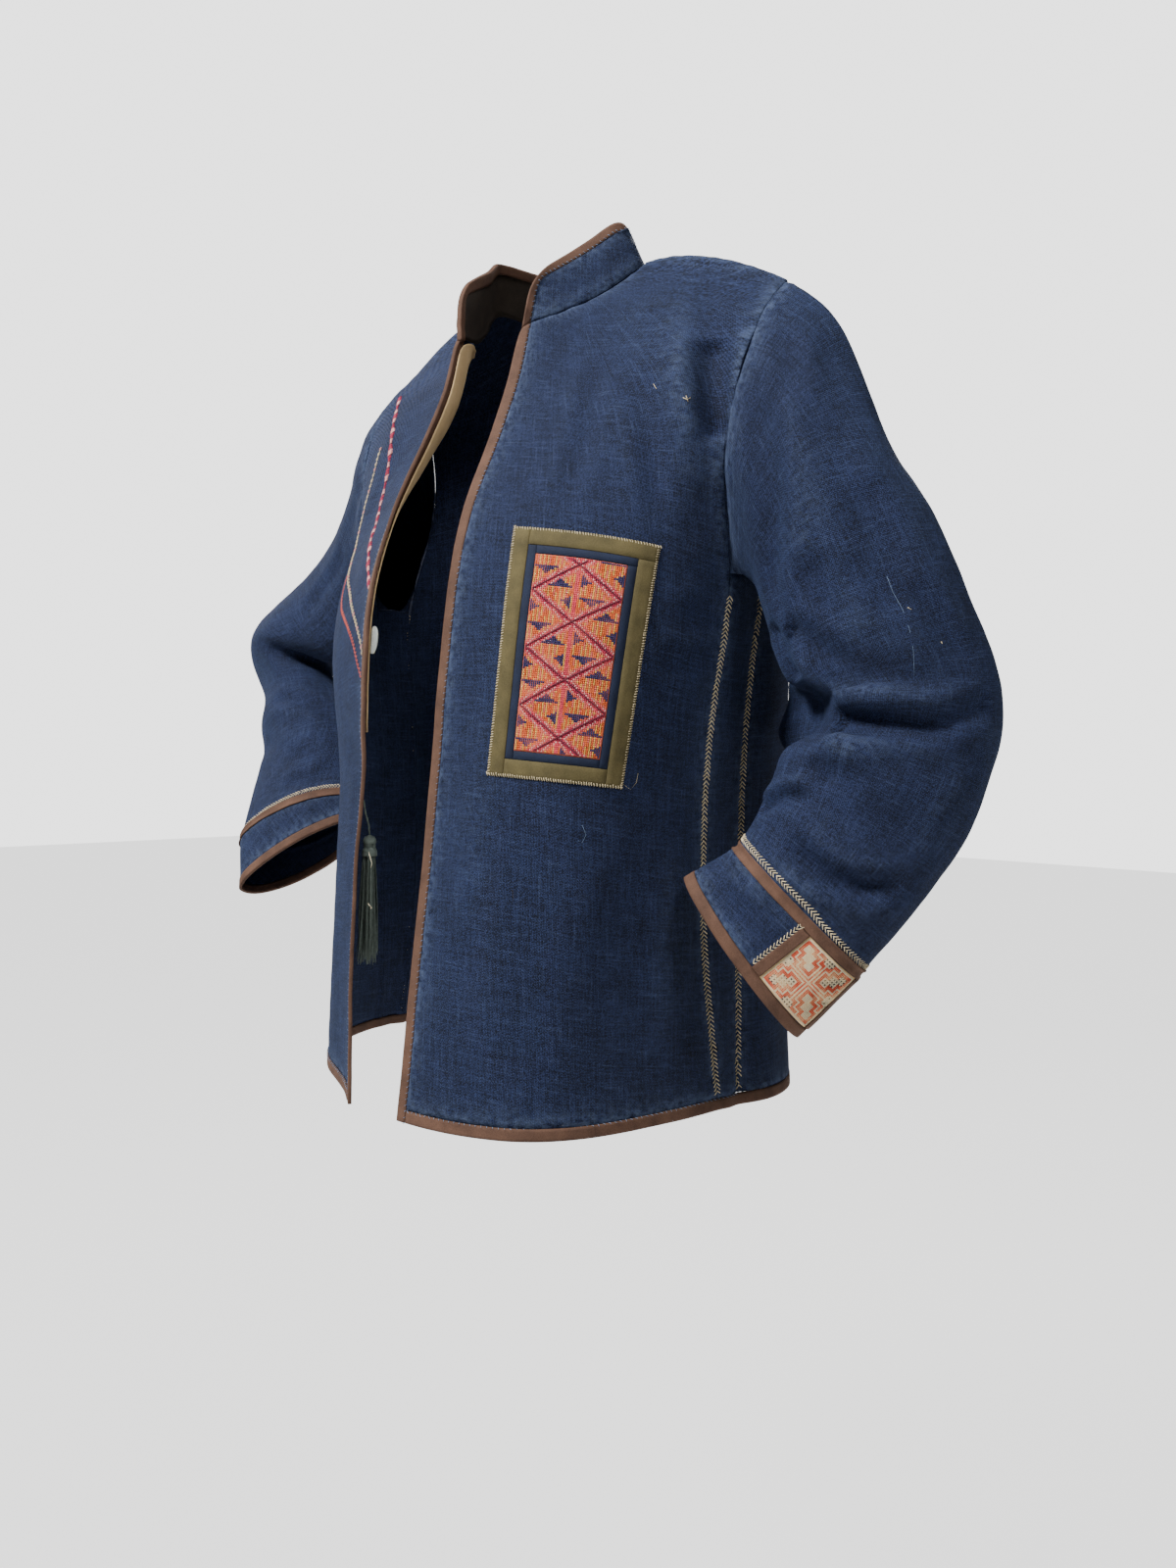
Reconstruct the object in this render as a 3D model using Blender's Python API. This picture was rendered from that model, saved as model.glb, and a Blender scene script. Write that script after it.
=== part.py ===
"""Short indigo hemp jacket, worn open: stand collar, bound edges, side panels, bent set-in sleeves
with banded cuffs, one framed embroidered patch on the chest, press stud and tassel.

Metres, +Z up, +X to the wearer's left, -Y to the front. The origin is the middle of the neck base,
level with the two neck points of the shoulder seams, where the wearer carries the jacket.
"""
import bmesh
import bpy
import numpy as np
from mathutils import Matrix, Vector

# ---------------------------------------------------------------- driving sizes
WALL = 0.0015            # hemp cloth
SEAM = 0.0003            # clearance between neighbouring pieces
TRIM = SEAM / 2          # each piece gives up half of it
TWIST_TRIM = 0.0004      # and more where the wall twists, round the collar
BINDING_WIDE = 0.0085    # brown edge binding, as it shows from outside
BINDING_PROUD = 0.0006   # how far the binding stands out on each face of the cloth
TAPE_WIDE = 0.0075
TAPE_THICK = 0.0009
COLLAR_HIGH = 0.043
COLLAR_CORNER = 0.016    # radius of the collar's round front corners
FACING_THICK = 0.0008
PATCH_THICK = 0.0010

# One row for each section, from the hem up. Edge = front edge or neckline, side = side line or
# armhole. Headings are in plan, in degrees: 0 runs towards the side, 90 towards the back. A pull is
# a share of the section's width, and the arch lifts the section's middle.
# edge x, edge y, edge z, side x, side y, side z, leaving, arriving, pull near, pull far, arch
FRONT_LEFT = [
    (0.026, -0.170, -0.619, 0.181, -0.012, -0.614, -2, 80, 0.50, 0.50, 0.000),   # hem
    (0.030, -0.159, -0.490, 0.171, -0.021, -0.490, -2, 84, 0.50, 0.50, 0.000),   # hip
    (0.032, -0.150, -0.390, 0.170, -0.022, -0.390, 0, 86, 0.48, 0.48, 0.000),    # waist
    (0.034, -0.143, -0.300, 0.180, -0.021, -0.310, 0, 84, 0.48, 0.48, 0.000),    # under bust
    (0.036, -0.131, -0.215, 0.187, -0.019, -0.245, 2, 82, 0.44, 0.46, 0.000),    # armpit
    (0.036, -0.106, -0.157, 0.189, -0.035, -0.175, 12, 55, 0.35, 0.33, 0.000),   # chest
    (0.031, -0.078, -0.098, 0.193, -0.029, -0.125, 24, 40, 0.33, 0.33, 0.000),   # upper chest
    (0.028, -0.063, -0.057, 0.197, -0.015, -0.086, 36, 22, 0.33, 0.33, 0.001),   # collar seam
    (0.046, -0.046, -0.047, 0.199, -0.002, -0.063, 30, 16, 0.33, 0.33, 0.004),   # neckline, low
    (0.066, -0.014, -0.026, 0.200, 0.011, -0.048, 18, 8, 0.33, 0.33, 0.007),     # neckline, high
    (0.080, 0.017, 0.003, 0.200, 0.024, -0.037, 0, 0, 0.33, 0.33, 0.010),        # shoulder seam
]
# the same columns, with x counted towards the wearer's right
FRONT_RIGHT = [
    (0.026, -0.169, -0.619, 0.181, -0.012, -0.614, 36, 84, 0.37, 0.50, 0.000),   # hem
    (0.030, -0.166, -0.490, 0.171, -0.021, -0.490, 42, 84, 0.33, 0.50, 0.000),   # hip
    (0.032, -0.157, -0.390, 0.170, -0.022, -0.390, 38, 84, 0.32, 0.48, 0.000),   # waist
    (0.034, -0.153, -0.290, 0.180, -0.021, -0.310, 24, 84, 0.33, 0.48, 0.000),   # under bust
    (0.036, -0.137, -0.215, 0.187, -0.019, -0.245, 32, 82, 0.30, 0.46, 0.000),   # armpit
    (0.038, -0.109, -0.157, 0.189, -0.035, -0.175, 66, 55, 0.26, 0.33, 0.000),   # chest
    (0.031, -0.083, -0.098, 0.193, -0.029, -0.125, 92, 36, 0.29, 0.33, 0.000),   # upper chest
    (0.031, -0.072, -0.057, 0.197, -0.015, -0.086, 72, 20, 0.36, 0.33, 0.001),   # collar seam
    (0.046, -0.044, -0.049, 0.199, -0.002, -0.063, 60, 16, 0.33, 0.33, 0.004),   # neckline, low
    (0.067, -0.013, -0.033, 0.200, 0.011, -0.048, 30, 8, 0.33, 0.33, 0.007),     # neckline, high
    (0.080, 0.017, 0.003, 0.200, 0.024, -0.037, 0, 0, 0.33, 0.33, 0.010),        # shoulder seam
]
# half of the back: side x, side y, side z, middle x, middle y, middle z, then as above
BACK = [
    (0.181, 0.012, -0.615, 0.000, 0.150, -0.617, 62, 180, 0.40, 0.55, 0.000),    # hem
    (0.174, 0.017, -0.490, 0.000, 0.142, -0.490, 66, 180, 0.44, 0.55, 0.000),    # hip
    (0.174, 0.018, -0.390, 0.000, 0.135, -0.390, 68, 180, 0.48, 0.52, 0.000),    # waist
    (0.180, 0.017, -0.310, 0.000, 0.130, -0.310, 76, 180, 0.50, 0.50, 0.000),    # under bust
    (0.187, 0.019, -0.245, 0.000, 0.126, -0.240, 92, 180, 0.46, 0.48, 0.000),    # armpit
    (0.188, 0.045, -0.175, 0.000, 0.120, -0.175, 118, 180, 0.38, 0.46, 0.000),   # shoulder blade
    (0.191, 0.055, -0.125, 0.000, 0.108, -0.115, 132, 180, 0.33, 0.42, 0.000),   # upper back
    (0.195, 0.053, -0.086, 0.000, 0.090, -0.060, 146, 180, 0.33, 0.40, 0.000),   # yoke
    (0.199, 0.046, -0.063, 0.000, 0.078, -0.022, 156, 180, 0.33, 0.40, 0.003),   # nape
    (0.200, 0.036, -0.048, 0.052, 0.062, -0.010, 166, 170, 0.33, 0.33, 0.006),   # neckline
    (0.200, 0.024, -0.037, 0.080, 0.017, 0.003, 180, 180, 0.33, 0.33, 0.010),    # shoulder seam
]
ARMPIT_ROW, COLLAR_ROW, NAPE_ROW, SHOULDER_ROW = 4, 7, 8, 10
NECK_POINT = 0.080       # x of the shoulder seam's neck end; sections run level into the middle

# One row for each ring of a sleeve, from the sleeve head to the cuff's edge: the centre, the
# reach of its elbow side, inner side, front and back, the turn of its width towards the front in
# degrees, and how far its elbow side leans ahead of the centre.
# centre x, centre y, centre z, elbow side, inner side, front, back, turn, lean
SLEEVE_LEFT = [
    (0.229, 0.017, -0.183, 0.053, 0.057, 0.055, 0.055, 20, 0.000),     # sleeve head
    (0.253, 0.017, -0.241, 0.065, 0.062, 0.051, 0.051, 16, 0.000),     # upper arm
    (0.272, 0.020, -0.292, 0.067, 0.061, 0.048, 0.048, 8, 0.000),      # above the elbow
    (0.289, 0.026, -0.337, 0.066, 0.047, 0.046, 0.046, 0, 0.000),      # elbow
    (0.278, 0.012, -0.391, 0.067, 0.062, 0.044, 0.044, 0, 0.000),      # below the elbow
    (0.265, -0.006, -0.431, 0.060, 0.060, 0.037, 0.037, 0, 0.000),     # forearm
    (0.245, -0.022, -0.466, 0.0575, 0.0560, 0.030, 0.028, 0, 0.000),   # cuff seam
    (0.210, -0.038, -0.497, 0.066, 0.060, 0.030, 0.024, 0, 0.000),     # cuff edge
]
# x counted towards the wearer's right
SLEEVE_RIGHT = [
    (0.224, 0.045, -0.154, 0.053, 0.057, 0.055, 0.055, 22, 0.000),     # sleeve head
    (0.264, 0.043, -0.205, 0.063, 0.062, 0.049, 0.051, 16, 0.000),     # upper arm
    (0.312, 0.037, -0.246, 0.065, 0.056, 0.046, 0.048, 8, 0.000),      # above the elbow
    (0.361, 0.026, -0.280, 0.074, 0.034, 0.046, 0.040, 0, 0.000),      # elbow
    (0.318, 0.012, -0.350, 0.056, 0.050, 0.044, 0.042, 10, 0.000),     # below the elbow
    (0.281, -0.017, -0.398, 0.062, 0.056, 0.034, 0.036, 20, 0.003),    # forearm
    (0.253, -0.048, -0.433, 0.060, 0.058, 0.024, 0.032, 26, 0.007),    # cuff seam
    (0.234, -0.063, -0.463, 0.058, 0.062, 0.018, 0.032, 28, 0.018),     # cuff edge
]
ELBOW_RING, CUFF_SEAM_RING, CUFF_EDGE_RING = 3, 6, 7

# Creases of a sleeve: place along the rings, angle round them, half length in degrees, half width
# in places, depth in metres (below zero = trough), slant in places for each 90 degrees.
CREASES_LEFT = [
    (2.70, 120, 75, 0.20, -0.0070, -0.20),
    (3.05, 100, 70, 0.16, 0.0060, -0.15),
    (3.40, 110, 80, 0.18, -0.0075, -0.10),
    (3.85, 150, 60, 0.20, 0.0045, 0.15),
    (4.60, 80, 60, 0.28, -0.0050, 0.35),
    (1.10, 60, 45, 0.45, -0.0035, 0.60),
    (2.95, 260, 70, 0.22, -0.0055, 0.20),
    (3.60, 250, 60, 0.24, -0.0045, 0.10),
]
CREASES_RIGHT = [
    (2.75, 90, 70, 0.22, 0.0050, -0.15),
    (3.42, 45, 80, 0.25, -0.0210, -0.06),
    (4.20, 60, 60, 0.26, -0.0045, 0.20),
    (1.30, 80, 50, 0.45, -0.0040, 0.60),
    (3.00, 260, 70, 0.22, -0.0055, 0.20),
    (3.70, 250, 60, 0.24, -0.0040, 0.10),
]
# Soft folds of a body panel: share across, place up, half width in shares, half height in places,
# depth in metres.
FOLDS_LEFT = [
    (0.90, 5.6, 0.07, 1.9, -0.0045),
    (0.74, 1.2, 0.09, 1.3, -0.0030),
    (0.45, 0.6, 0.12, 1.0, 0.0025),
    (0.82, 3.3, 0.12, 0.6, 0.0035),
]
FOLDS_RIGHT = [
    (0.88, 5.4, 0.07, 1.8, -0.0040),
    (0.62, 1.0, 0.10, 1.4, -0.0035),
    (0.35, 0.8, 0.12, 1.2, 0.0025),
]
FOLDS_BACK = [
    (0.20, 1.4, 0.07, 1.8, -0.0050),
    (0.38, 1.0, 0.08, 1.6, 0.0040),
    (0.60, 1.2, 0.08, 1.8, -0.0040),
    (0.10, 3.6, 0.06, 1.2, 0.0040),
    (0.86, 1.0, 0.10, 1.5, 0.0035),
]

# Top edge of the stand collar, from its front corner to the middle of the back.
# top x, top y, top z
COLLAR_LEFT = [
    (0.033, -0.057, -0.016),
    (0.040, -0.035, 0.000),
    (0.050, -0.014, 0.018),
    (0.064, 0.008, 0.037),
    (0.042, 0.052, 0.031),
    (0.000, 0.070, 0.027),
]
COLLAR_RIGHT = [
    (0.037, -0.066, -0.014),
    (0.045, -0.040, 0.005),
    (0.053, -0.016, 0.020),
    (0.064, 0.008, 0.037),
    (0.042, 0.052, 0.031),
    (0.000, 0.070, 0.027),
]

# The chest patch: corner places (section place, metres from the left front edge), from the top
# corner near the opening and on towards the side, and the widths of its frames.
PATCH_CORNERS = [(4.04, 0.205), (4.06, 0.705), (1.99, 0.649), (2.07, 0.208)]
PATCH_FRAME_WIDE, PATCH_BORDER_WIDE = 0.0115, 0.0055
FACING_COLUMNS = 3       # the cream facing spans these columns of the right front
FACING_ROWS = (2.2, 8.2)
FACING_EDGE = 0.0030     # it lies on the binding too, and stops short of the fold
FACING_BELOW_NECK = 0.25 # and ends this share of a row or column below the neckline
FACING_GAP = 0.0010
BEHIND_BINDING = WALL + BINDING_PROUD + SEAM         # from the outside of the cloth inwards
BEHIND_FACING = BEHIND_BINDING + FACING_GAP + FACING_THICK
SIDE_BULGE = np.array([0.0015, 0, 0])
LIFT = 0.00045           # under tapes and patches on the curved cuff
# Where the cuff patches start and stop, round the cuff from its elbow-side fold to the front.
CUFF_PATCHES = {"left": (0.008, 0.053), "right": (-0.056, -0.010)}
# Press studs: place up the edge, metres in from the edge, depth inside the cloth, radius.
STUDS = {"left": (3.05, 0.005, BEHIND_BINDING, 0.0080),
         "right": (3.0, -0.002, BEHIND_FACING + SEAM, 0.0100)}
STUD_THICK = 0.0022
TASSEL_ROW, TASSEL_IN = 1.85, 0.005     # its cord hangs from here, inside the right edge
TASSEL_HANG = np.array([0.001, 0.005, -0.025])       # from the cord's root to the head's top
TASSEL_LONG, TASSEL_HEAD = 0.094, 0.015
TASSEL_STRANDS = 24
HEAD_RADIUS, CORD_RADIUS, STRAND_RADIUS = 0.0055, 0.0009, 0.00055

# ---------------------------------------------------------------- sampling
HEM_PLACE = BINDING_WIDE / (FRONT_LEFT[1][2] - FRONT_LEFT[0][2])
ROWS_LOW = np.linspace(0, ARMPIT_ROW, 13)
ROWS_LOW[0] = HEM_PLACE
ROWS_HIGH = np.linspace(ARMPIT_ROW, SHOULDER_ROW, 13)
ROWS = np.concatenate([ROWS_LOW, ROWS_HIGH[1:]])
PIT = len(ROWS_LOW) - 1
COLLAR_END = PIT + 2 * (COLLAR_ROW - ARMPIT_ROW)
NAPE = PIT + 2 * (NAPE_ROW - ARMPIT_ROW)
SHARES = np.linspace(0, 1, 13)
FINE = np.linspace(0, 1, 65)
HEAD_PLACES = np.linspace(-1, 1, 7)[:-1]      # armhole, sleeve head (0), upper arm
ARM_PLACES = np.concatenate([[1, 1.5], np.linspace(2, 5, 13), [5.5, 6]])
RING_REACH = 0.9         # a ring faces along the arm between places this far to either side
HEAD_PUFF = 0.35         # how far the sleeve head swells beside its seam
PIT_ROUND = 0.005        # how far the sleeve stands off from the body under the armpit
MIRROR = np.array([-1.0, 1.0, 1.0])


# ---------------------------------------------------------------- curves and surfaces
def unit(vectors):
    """Vectors scaled to length one."""
    length = np.linalg.norm(vectors, axis=-1, keepdims=True)
    return vectors / np.maximum(length, 1e-12)


def hermite(rows, slope, places):
    """Cubic through table rows with the given slopes, read at places (0 = first row)."""
    places = np.clip(np.asarray(places, float), 0, len(rows) - 1)
    i = np.minimum(places.astype(int), len(rows) - 2)
    t = (places - i)[:, None]
    start = rows[i] * (1 + 2 * t) * (1 - t) ** 2 + slope[i] * t * (1 - t) ** 2
    return start + rows[i + 1] * t * t * (3 - 2 * t) + slope[i + 1] * t * t * (t - 1)


def without_overshoot(table, places):
    """Smooth curve through the rows that never swings past them (for flat runs and corners)."""
    rows = np.asarray(table, float)
    step = np.diff(rows, axis=0)
    before, after = step[:-1], step[1:]
    together = before * after > 0
    slope = np.zeros_like(rows)
    slope[1:-1] = np.where(together, 2 * before * after / np.where(together, before + after, 1), 0)
    slope[0], slope[-1] = step[0], step[-1]
    return hermite(rows, slope, places)


def round_through(table, places):
    """Rounder curve through the rows (for the sleeve's path)."""
    rows = np.asarray(table, float)
    return hermite(rows, np.gradient(rows, axis=0), places)


def bezier(a, b, c, d, t):
    """Cubic Bezier with t along the last axis but one."""
    t = t[..., None]
    return a * (1 - t) ** 3 + 3 * b * t * (1 - t) ** 2 + 3 * c * t * t * (1 - t) + d * t ** 3


def plan_heading(degrees):
    """Level unit vectors from headings in plan."""
    angle = np.radians(degrees)
    return np.stack([np.cos(angle), np.sin(angle), np.zeros_like(angle)], axis=-1)


def section_curves(table, places):
    """A fine curve across the panel for each place: (places, 65, 3)."""
    row = without_overshoot(table, places)
    first, last = row[:, 0:3], row[:, 3:6]
    width = np.linalg.norm(last - first, axis=1, keepdims=True)
    rise = (last - first) * np.array([0, 0, 1 / 3])
    near = first + plan_heading(row[:, 6]) * width * row[:, 8:9] + rise
    level = np.clip(row[:, 3:4] / NECK_POINT, 0, 1)
    far = last - plan_heading(row[:, 7]) * width * row[:, 9:10] - rise * level
    curves = bezier(first[:, None], near[:, None], far[:, None], last[:, None], FINE[None, :])
    curves[..., 2] += row[:, 10:11] * 4 * FINE * (1 - FINE)
    return curves


def read_curve(curve, shares):
    """Points of a fine curve at shares of its length."""
    run = np.concatenate([[0], np.cumsum(np.linalg.norm(np.diff(curve, axis=0), axis=1))])
    return np.stack([np.interp(np.asarray(shares) * run[-1], run, curve[:, k]) for k in range(3)],
                    axis=-1)


def curve_length(curve):
    """Length of a fine curve."""
    return np.linalg.norm(np.diff(curve, axis=0), axis=1).sum()


def grid_normals(grid, closed=False):
    """Unit normals of a grid of points; outside is columns x rows (columns run to the side)."""
    if closed:
        around = np.roll(grid, -1, axis=1) - np.roll(grid, 1, axis=1)
    else:
        around = np.gradient(grid, axis=1)
    return unit(np.cross(around, np.gradient(grid, axis=0)))


def folded(grid, places, shares, folds):
    """Moves a panel's points in and out by its table of soft folds, fading out at the seams."""
    across, up = np.meshgrid(shares, places)
    relief = np.zeros(grid.shape[:2])
    for share, place, half_wide, half_high, depth in folds:
        relief += depth * np.exp(-((across - share) / half_wide) ** 2
                                 - ((up - place) / half_high) ** 2)
    fade = np.clip(across / 0.06, 0, 1) * np.clip((1 - across) / 0.06, 0, 1)
    fade = fade * np.clip((places[-1] - up) / 1.5, 0, 1)
    return grid + grid_normals(grid) * (relief * fade)[..., None]


def panel_grid(table, places, shares, folds, margins=None):
    """Points of a body panel: a row for each place, a column for each share of the width, which
    starts a margin in from the edge."""
    rows = []
    for number, curve in enumerate(section_curves(table, places)):
        start = 0 if margins is None else margins[number] / curve_length(curve)
        rows.append(read_curve(curve, start + (1 - start) * shares))
    return folded(np.array(rows), places, shares, folds)


# ---------------------------------------------------------------- sleeves
def bend_side(table):
    """Unit normal of the plane in which the arm bends, on its front side."""
    centres = np.asarray(table, float)[:, :3]
    normal = unit(np.cross(centres[ELBOW_RING] - centres[0], centres[-1] - centres[ELBOW_RING]))
    return normal if normal[1] < 0 else -normal


def sleeve_rings(table, places, angles):
    """Rings of a sleeve: angle 0 = elbow side, 90 = front, 180 = inner side, 270 = back."""
    row = round_through(table, places)
    front = bend_side(table)
    ahead = round_through(table, np.minimum(np.asarray(places) + RING_REACH, len(table) - 1))
    behind = round_through(table, np.maximum(np.asarray(places) - RING_REACH, 0))
    along = unit(ahead[:, :3] - behind[:, :3])
    out = unit(np.cross(front, along))
    forward = unit(front - along * (along @ front)[:, None])
    turn = np.radians(row[:, 7:8])
    out, forward = (out * np.cos(turn) + forward * np.sin(turn),
                    forward * np.cos(turn) - out * np.sin(turn))
    cosine, sine = np.cos(np.radians(angles)), np.sin(np.radians(angles))
    reach = np.where(cosine > 0, row[:, 3:4], row[:, 4:5]) * cosine
    depth = np.where(sine > 0, row[:, 5:6], row[:, 6:7]) * sine
    rings = row[:, None, :3] + out[:, None] * reach[..., None]
    rings += forward[:, None] * depth[..., None]
    return rings + along[:, None] * (row[:, 8:9] * cosine)[..., None], along


def creased(grid, places, angles, creases):
    """Moves a sleeve's points in and out by its table of creases, fading out at its ends."""
    around, along = np.meshgrid(angles, places)
    relief = np.zeros(grid.shape[:2])
    for place, angle, half_long, half_wide, depth, slant in creases:
        turn = (around - angle + 180) % 360 - 180
        middle = place + slant * turn / 90
        relief += depth * np.exp(-((along - middle) / half_wide) ** 2 - (turn / half_long) ** 2)
    relief *= np.clip((CUFF_SEAM_RING - along) / 0.8, 0, 1) * np.clip((along + 0.6) / 0.6, 0, 1)
    return grid + grid_normals(grid, closed=True) * relief[..., None]


def sleeve_grid(table, creases, armhole):
    """Points of a sleeve from the armhole to its cuff seam; each armhole point has a column. The
    head swells on the elbow side, and turns down at once to the upper arm under the armpit."""
    closed_loop = np.concatenate([armhole, armhole[:1]])
    run = np.cumsum(np.linalg.norm(np.diff(closed_loop, axis=0), axis=1))
    angles = 360 * np.concatenate([[0], run[:-1]]) / run[-1]
    arm, along = sleeve_rings(table, ARM_PLACES, angles)
    head = sleeve_rings(table, [0], angles)[0][0]
    swell = unit(head - head.mean(axis=0))
    high = (1 + np.cos(np.radians(angles)))[:, None] / 2
    sideways = np.array([1.0, 0, 0])
    middle = head * high + ((armhole + arm[0]) / 2 + sideways * PIT_ROUND) * (1 - high)
    leave = unit(0.8 * sideways + 0.5 * along[0] * high + np.array([0, 0, 0.25]) * high
                 + swell * HEAD_PUFF * high)
    first = np.linalg.norm(middle - armhole, axis=1, keepdims=True)
    second = np.linalg.norm(arm[0] - middle, axis=1, keepdims=True)
    slope = np.array([leave * first, (arm[0] - armhole) / 2, along[0] * second])
    rows = np.array([armhole, middle, arm[0]])
    cap = hermite(rows.reshape(3, -1), slope.reshape(3, -1), HEAD_PLACES + 1)
    grid = np.concatenate([cap.reshape(len(HEAD_PLACES), -1, 3), arm])
    return creased(grid, np.concatenate([HEAD_PLACES, ARM_PLACES]), angles, creases), angles


# ---------------------------------------------------------------- solids
LOOKS = {
    "indigo": ((0.028, 0.045, 0.115), 0.85),
    "brown": ((0.150, 0.070, 0.045), 0.60),
    "dark brown": ((0.060, 0.038, 0.028), 0.80),
    "cream": ((0.560, 0.420, 0.240), 0.80),
    "olive": ((0.150, 0.125, 0.055), 0.75),
    "navy": ((0.022, 0.030, 0.090), 0.80),
    "embroidery": ((0.700, 0.160, 0.120), 0.80),
    "coral": ((0.640, 0.160, 0.110), 0.80),
    "plastic": ((0.700, 0.720, 0.720), 0.15),
    "tassel": ((0.085, 0.110, 0.110), 0.70),
}


def material(name, colour, roughness):
    """A plain Principled material."""
    made = bpy.data.materials.new(name)
    made.use_nodes = True
    shader = made.node_tree.nodes["Principled BSDF"]
    shader.inputs["Base Color"].default_value = (*colour, 1.0)
    shader.inputs["Roughness"].default_value = roughness
    shader.inputs["Metallic"].default_value = 0.0
    return made


def add_solid(name, points, faces, look):
    """One closed mesh object, with its faces turned outwards."""
    mesh = bpy.data.meshes.new(name)
    mesh.from_pydata([tuple(p) for p in points], [], [tuple(f) for f in faces])
    mesh.update()
    volume = sum(mesh.vertices[f.vertices[0]].co.dot(f.normal) * f.area for f in mesh.polygons)
    if volume < 0:
        mesh.flip_normals()
    mesh.materials.append(material(name, *LOOKS[look]))
    mesh.shade_smooth()
    mesh.set_sharp_from_angle(angle=np.radians(50))
    solid = bpy.data.objects.new(name, mesh)
    bpy.context.scene.collection.objects.link(solid)
    return solid


def grid_faces(index, closed=False):
    """Triangles of a grid of point numbers; a repeated number makes no face."""
    if closed:
        index = np.concatenate([index, index[:, :1]], axis=1)
    faces = []
    for i in range(index.shape[0] - 1):
        for j in range(index.shape[1] - 1):
            a, b, c, d = (int(k) for k in (index[i, j], index[i, j + 1],
                                           index[i + 1, j + 1], index[i + 1, j]))
            faces += [t for t in ((a, b, c), (a, c, d)) if len(set(t)) == 3]
    return faces


def thicken(name, points, normals, faces, outer, inner, look):
    """Solid between two offsets of a surface, closed round its free borders. The border's quads
    are split by where they lie, so that walls that meet along a twisted seam split alike."""
    count = len(points)
    both = np.concatenate([points + normals * outer, points + normals * inner])
    solid_faces, edges = [], set()
    for face in faces:
        solid_faces.append(face)
        solid_faces.append(tuple(count + k for k in reversed(face)))
        edges.update(zip(face, face[1:] + face[:1]))
    lean = (points * np.array([0, 0.52, 1.0])).sum(axis=1)
    for a, b in sorted(edges):
        if (b, a) in edges:
            continue
        if lean[a] > lean[b]:
            solid_faces += [(b, a, count + a), (b, count + a, count + b)]
        else:
            solid_faces += [(b, a, count + b), (a, count + a, count + b)]
    used = sorted({k for face in solid_faces for k in face})
    number = {k: n for n, k in enumerate(used)}
    return add_solid(name, both[used], [tuple(number[k] for k in f) for f in solid_faces], look)


def wall(name, grid, normals, outer, inner, look, side=1, closed=False):
    """Cloth wall on a grid; side -1 mirrors it to the wearer's right."""
    flip = MIRROR if side < 0 else 1
    index = np.arange(grid.shape[0] * grid.shape[1]).reshape(grid.shape[:2])
    return thicken(name, grid.reshape(-1, 3) * flip, normals.reshape(-1, 3) * flip,
                   grid_faces(index, closed), outer, inner, look)


def paired_wall(name, left, right, joined_rows, outer, inner, look):
    """Wall on a left and a right half, each given as (grid, normals) in the left form and joined
    at their last columns over the first rows."""
    rows, columns = left[0].shape[:2]
    points = np.concatenate([left[0].reshape(-1, 3), right[0].reshape(-1, 3) * MIRROR])
    normals = np.concatenate([left[1].reshape(-1, 3), right[1].reshape(-1, 3) * MIRROR])
    first = np.arange(rows * columns).reshape(rows, columns)
    second = first[:, ::-1] + rows * columns
    second[:joined_rows, 0] = first[:joined_rows, -1]
    faces = grid_faces(first) + grid_faces(second)
    return thicken(name, points, normals, faces, outer, inner, look)


def mitre(*borders):
    """Gives borders that meet the mean of their normals, so that their walls meet on one plane."""
    mean = unit(sum(borders))
    for border in borders:
        border[...] = mean


def trimmed(grid, first_row=0.0, last_row=0.0, first_column=0.0, last_column=0.0):
    """Draws a grid's borders in along its own lines."""
    made = grid.copy()
    made[0] += unit(grid[1] - grid[0]) * first_row
    made[-1] += unit(grid[-2] - grid[-1]) * last_row
    made[:, 0] += unit(grid[:, 1] - grid[:, 0]) * first_column
    made[:, -1] += unit(grid[:, -2] - grid[:, -1]) * last_column
    return made


def read_grid(grid, rows, columns):
    """Points between the points of a grid; rows and columns are fractional numbers."""
    rows, columns = np.broadcast_arrays(rows, columns)
    i = np.clip(rows.astype(int), 0, grid.shape[0] - 2)
    j = np.clip(columns.astype(int), 0, grid.shape[1] - 2)
    a, b = (rows - i)[..., None], (columns - j)[..., None]
    low = grid[i, j] * (1 - b) + grid[i, j + 1] * b
    high = grid[i + 1, j] * (1 - b) + grid[i + 1, j + 1] * b
    return low * (1 - a) + high * a


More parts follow.
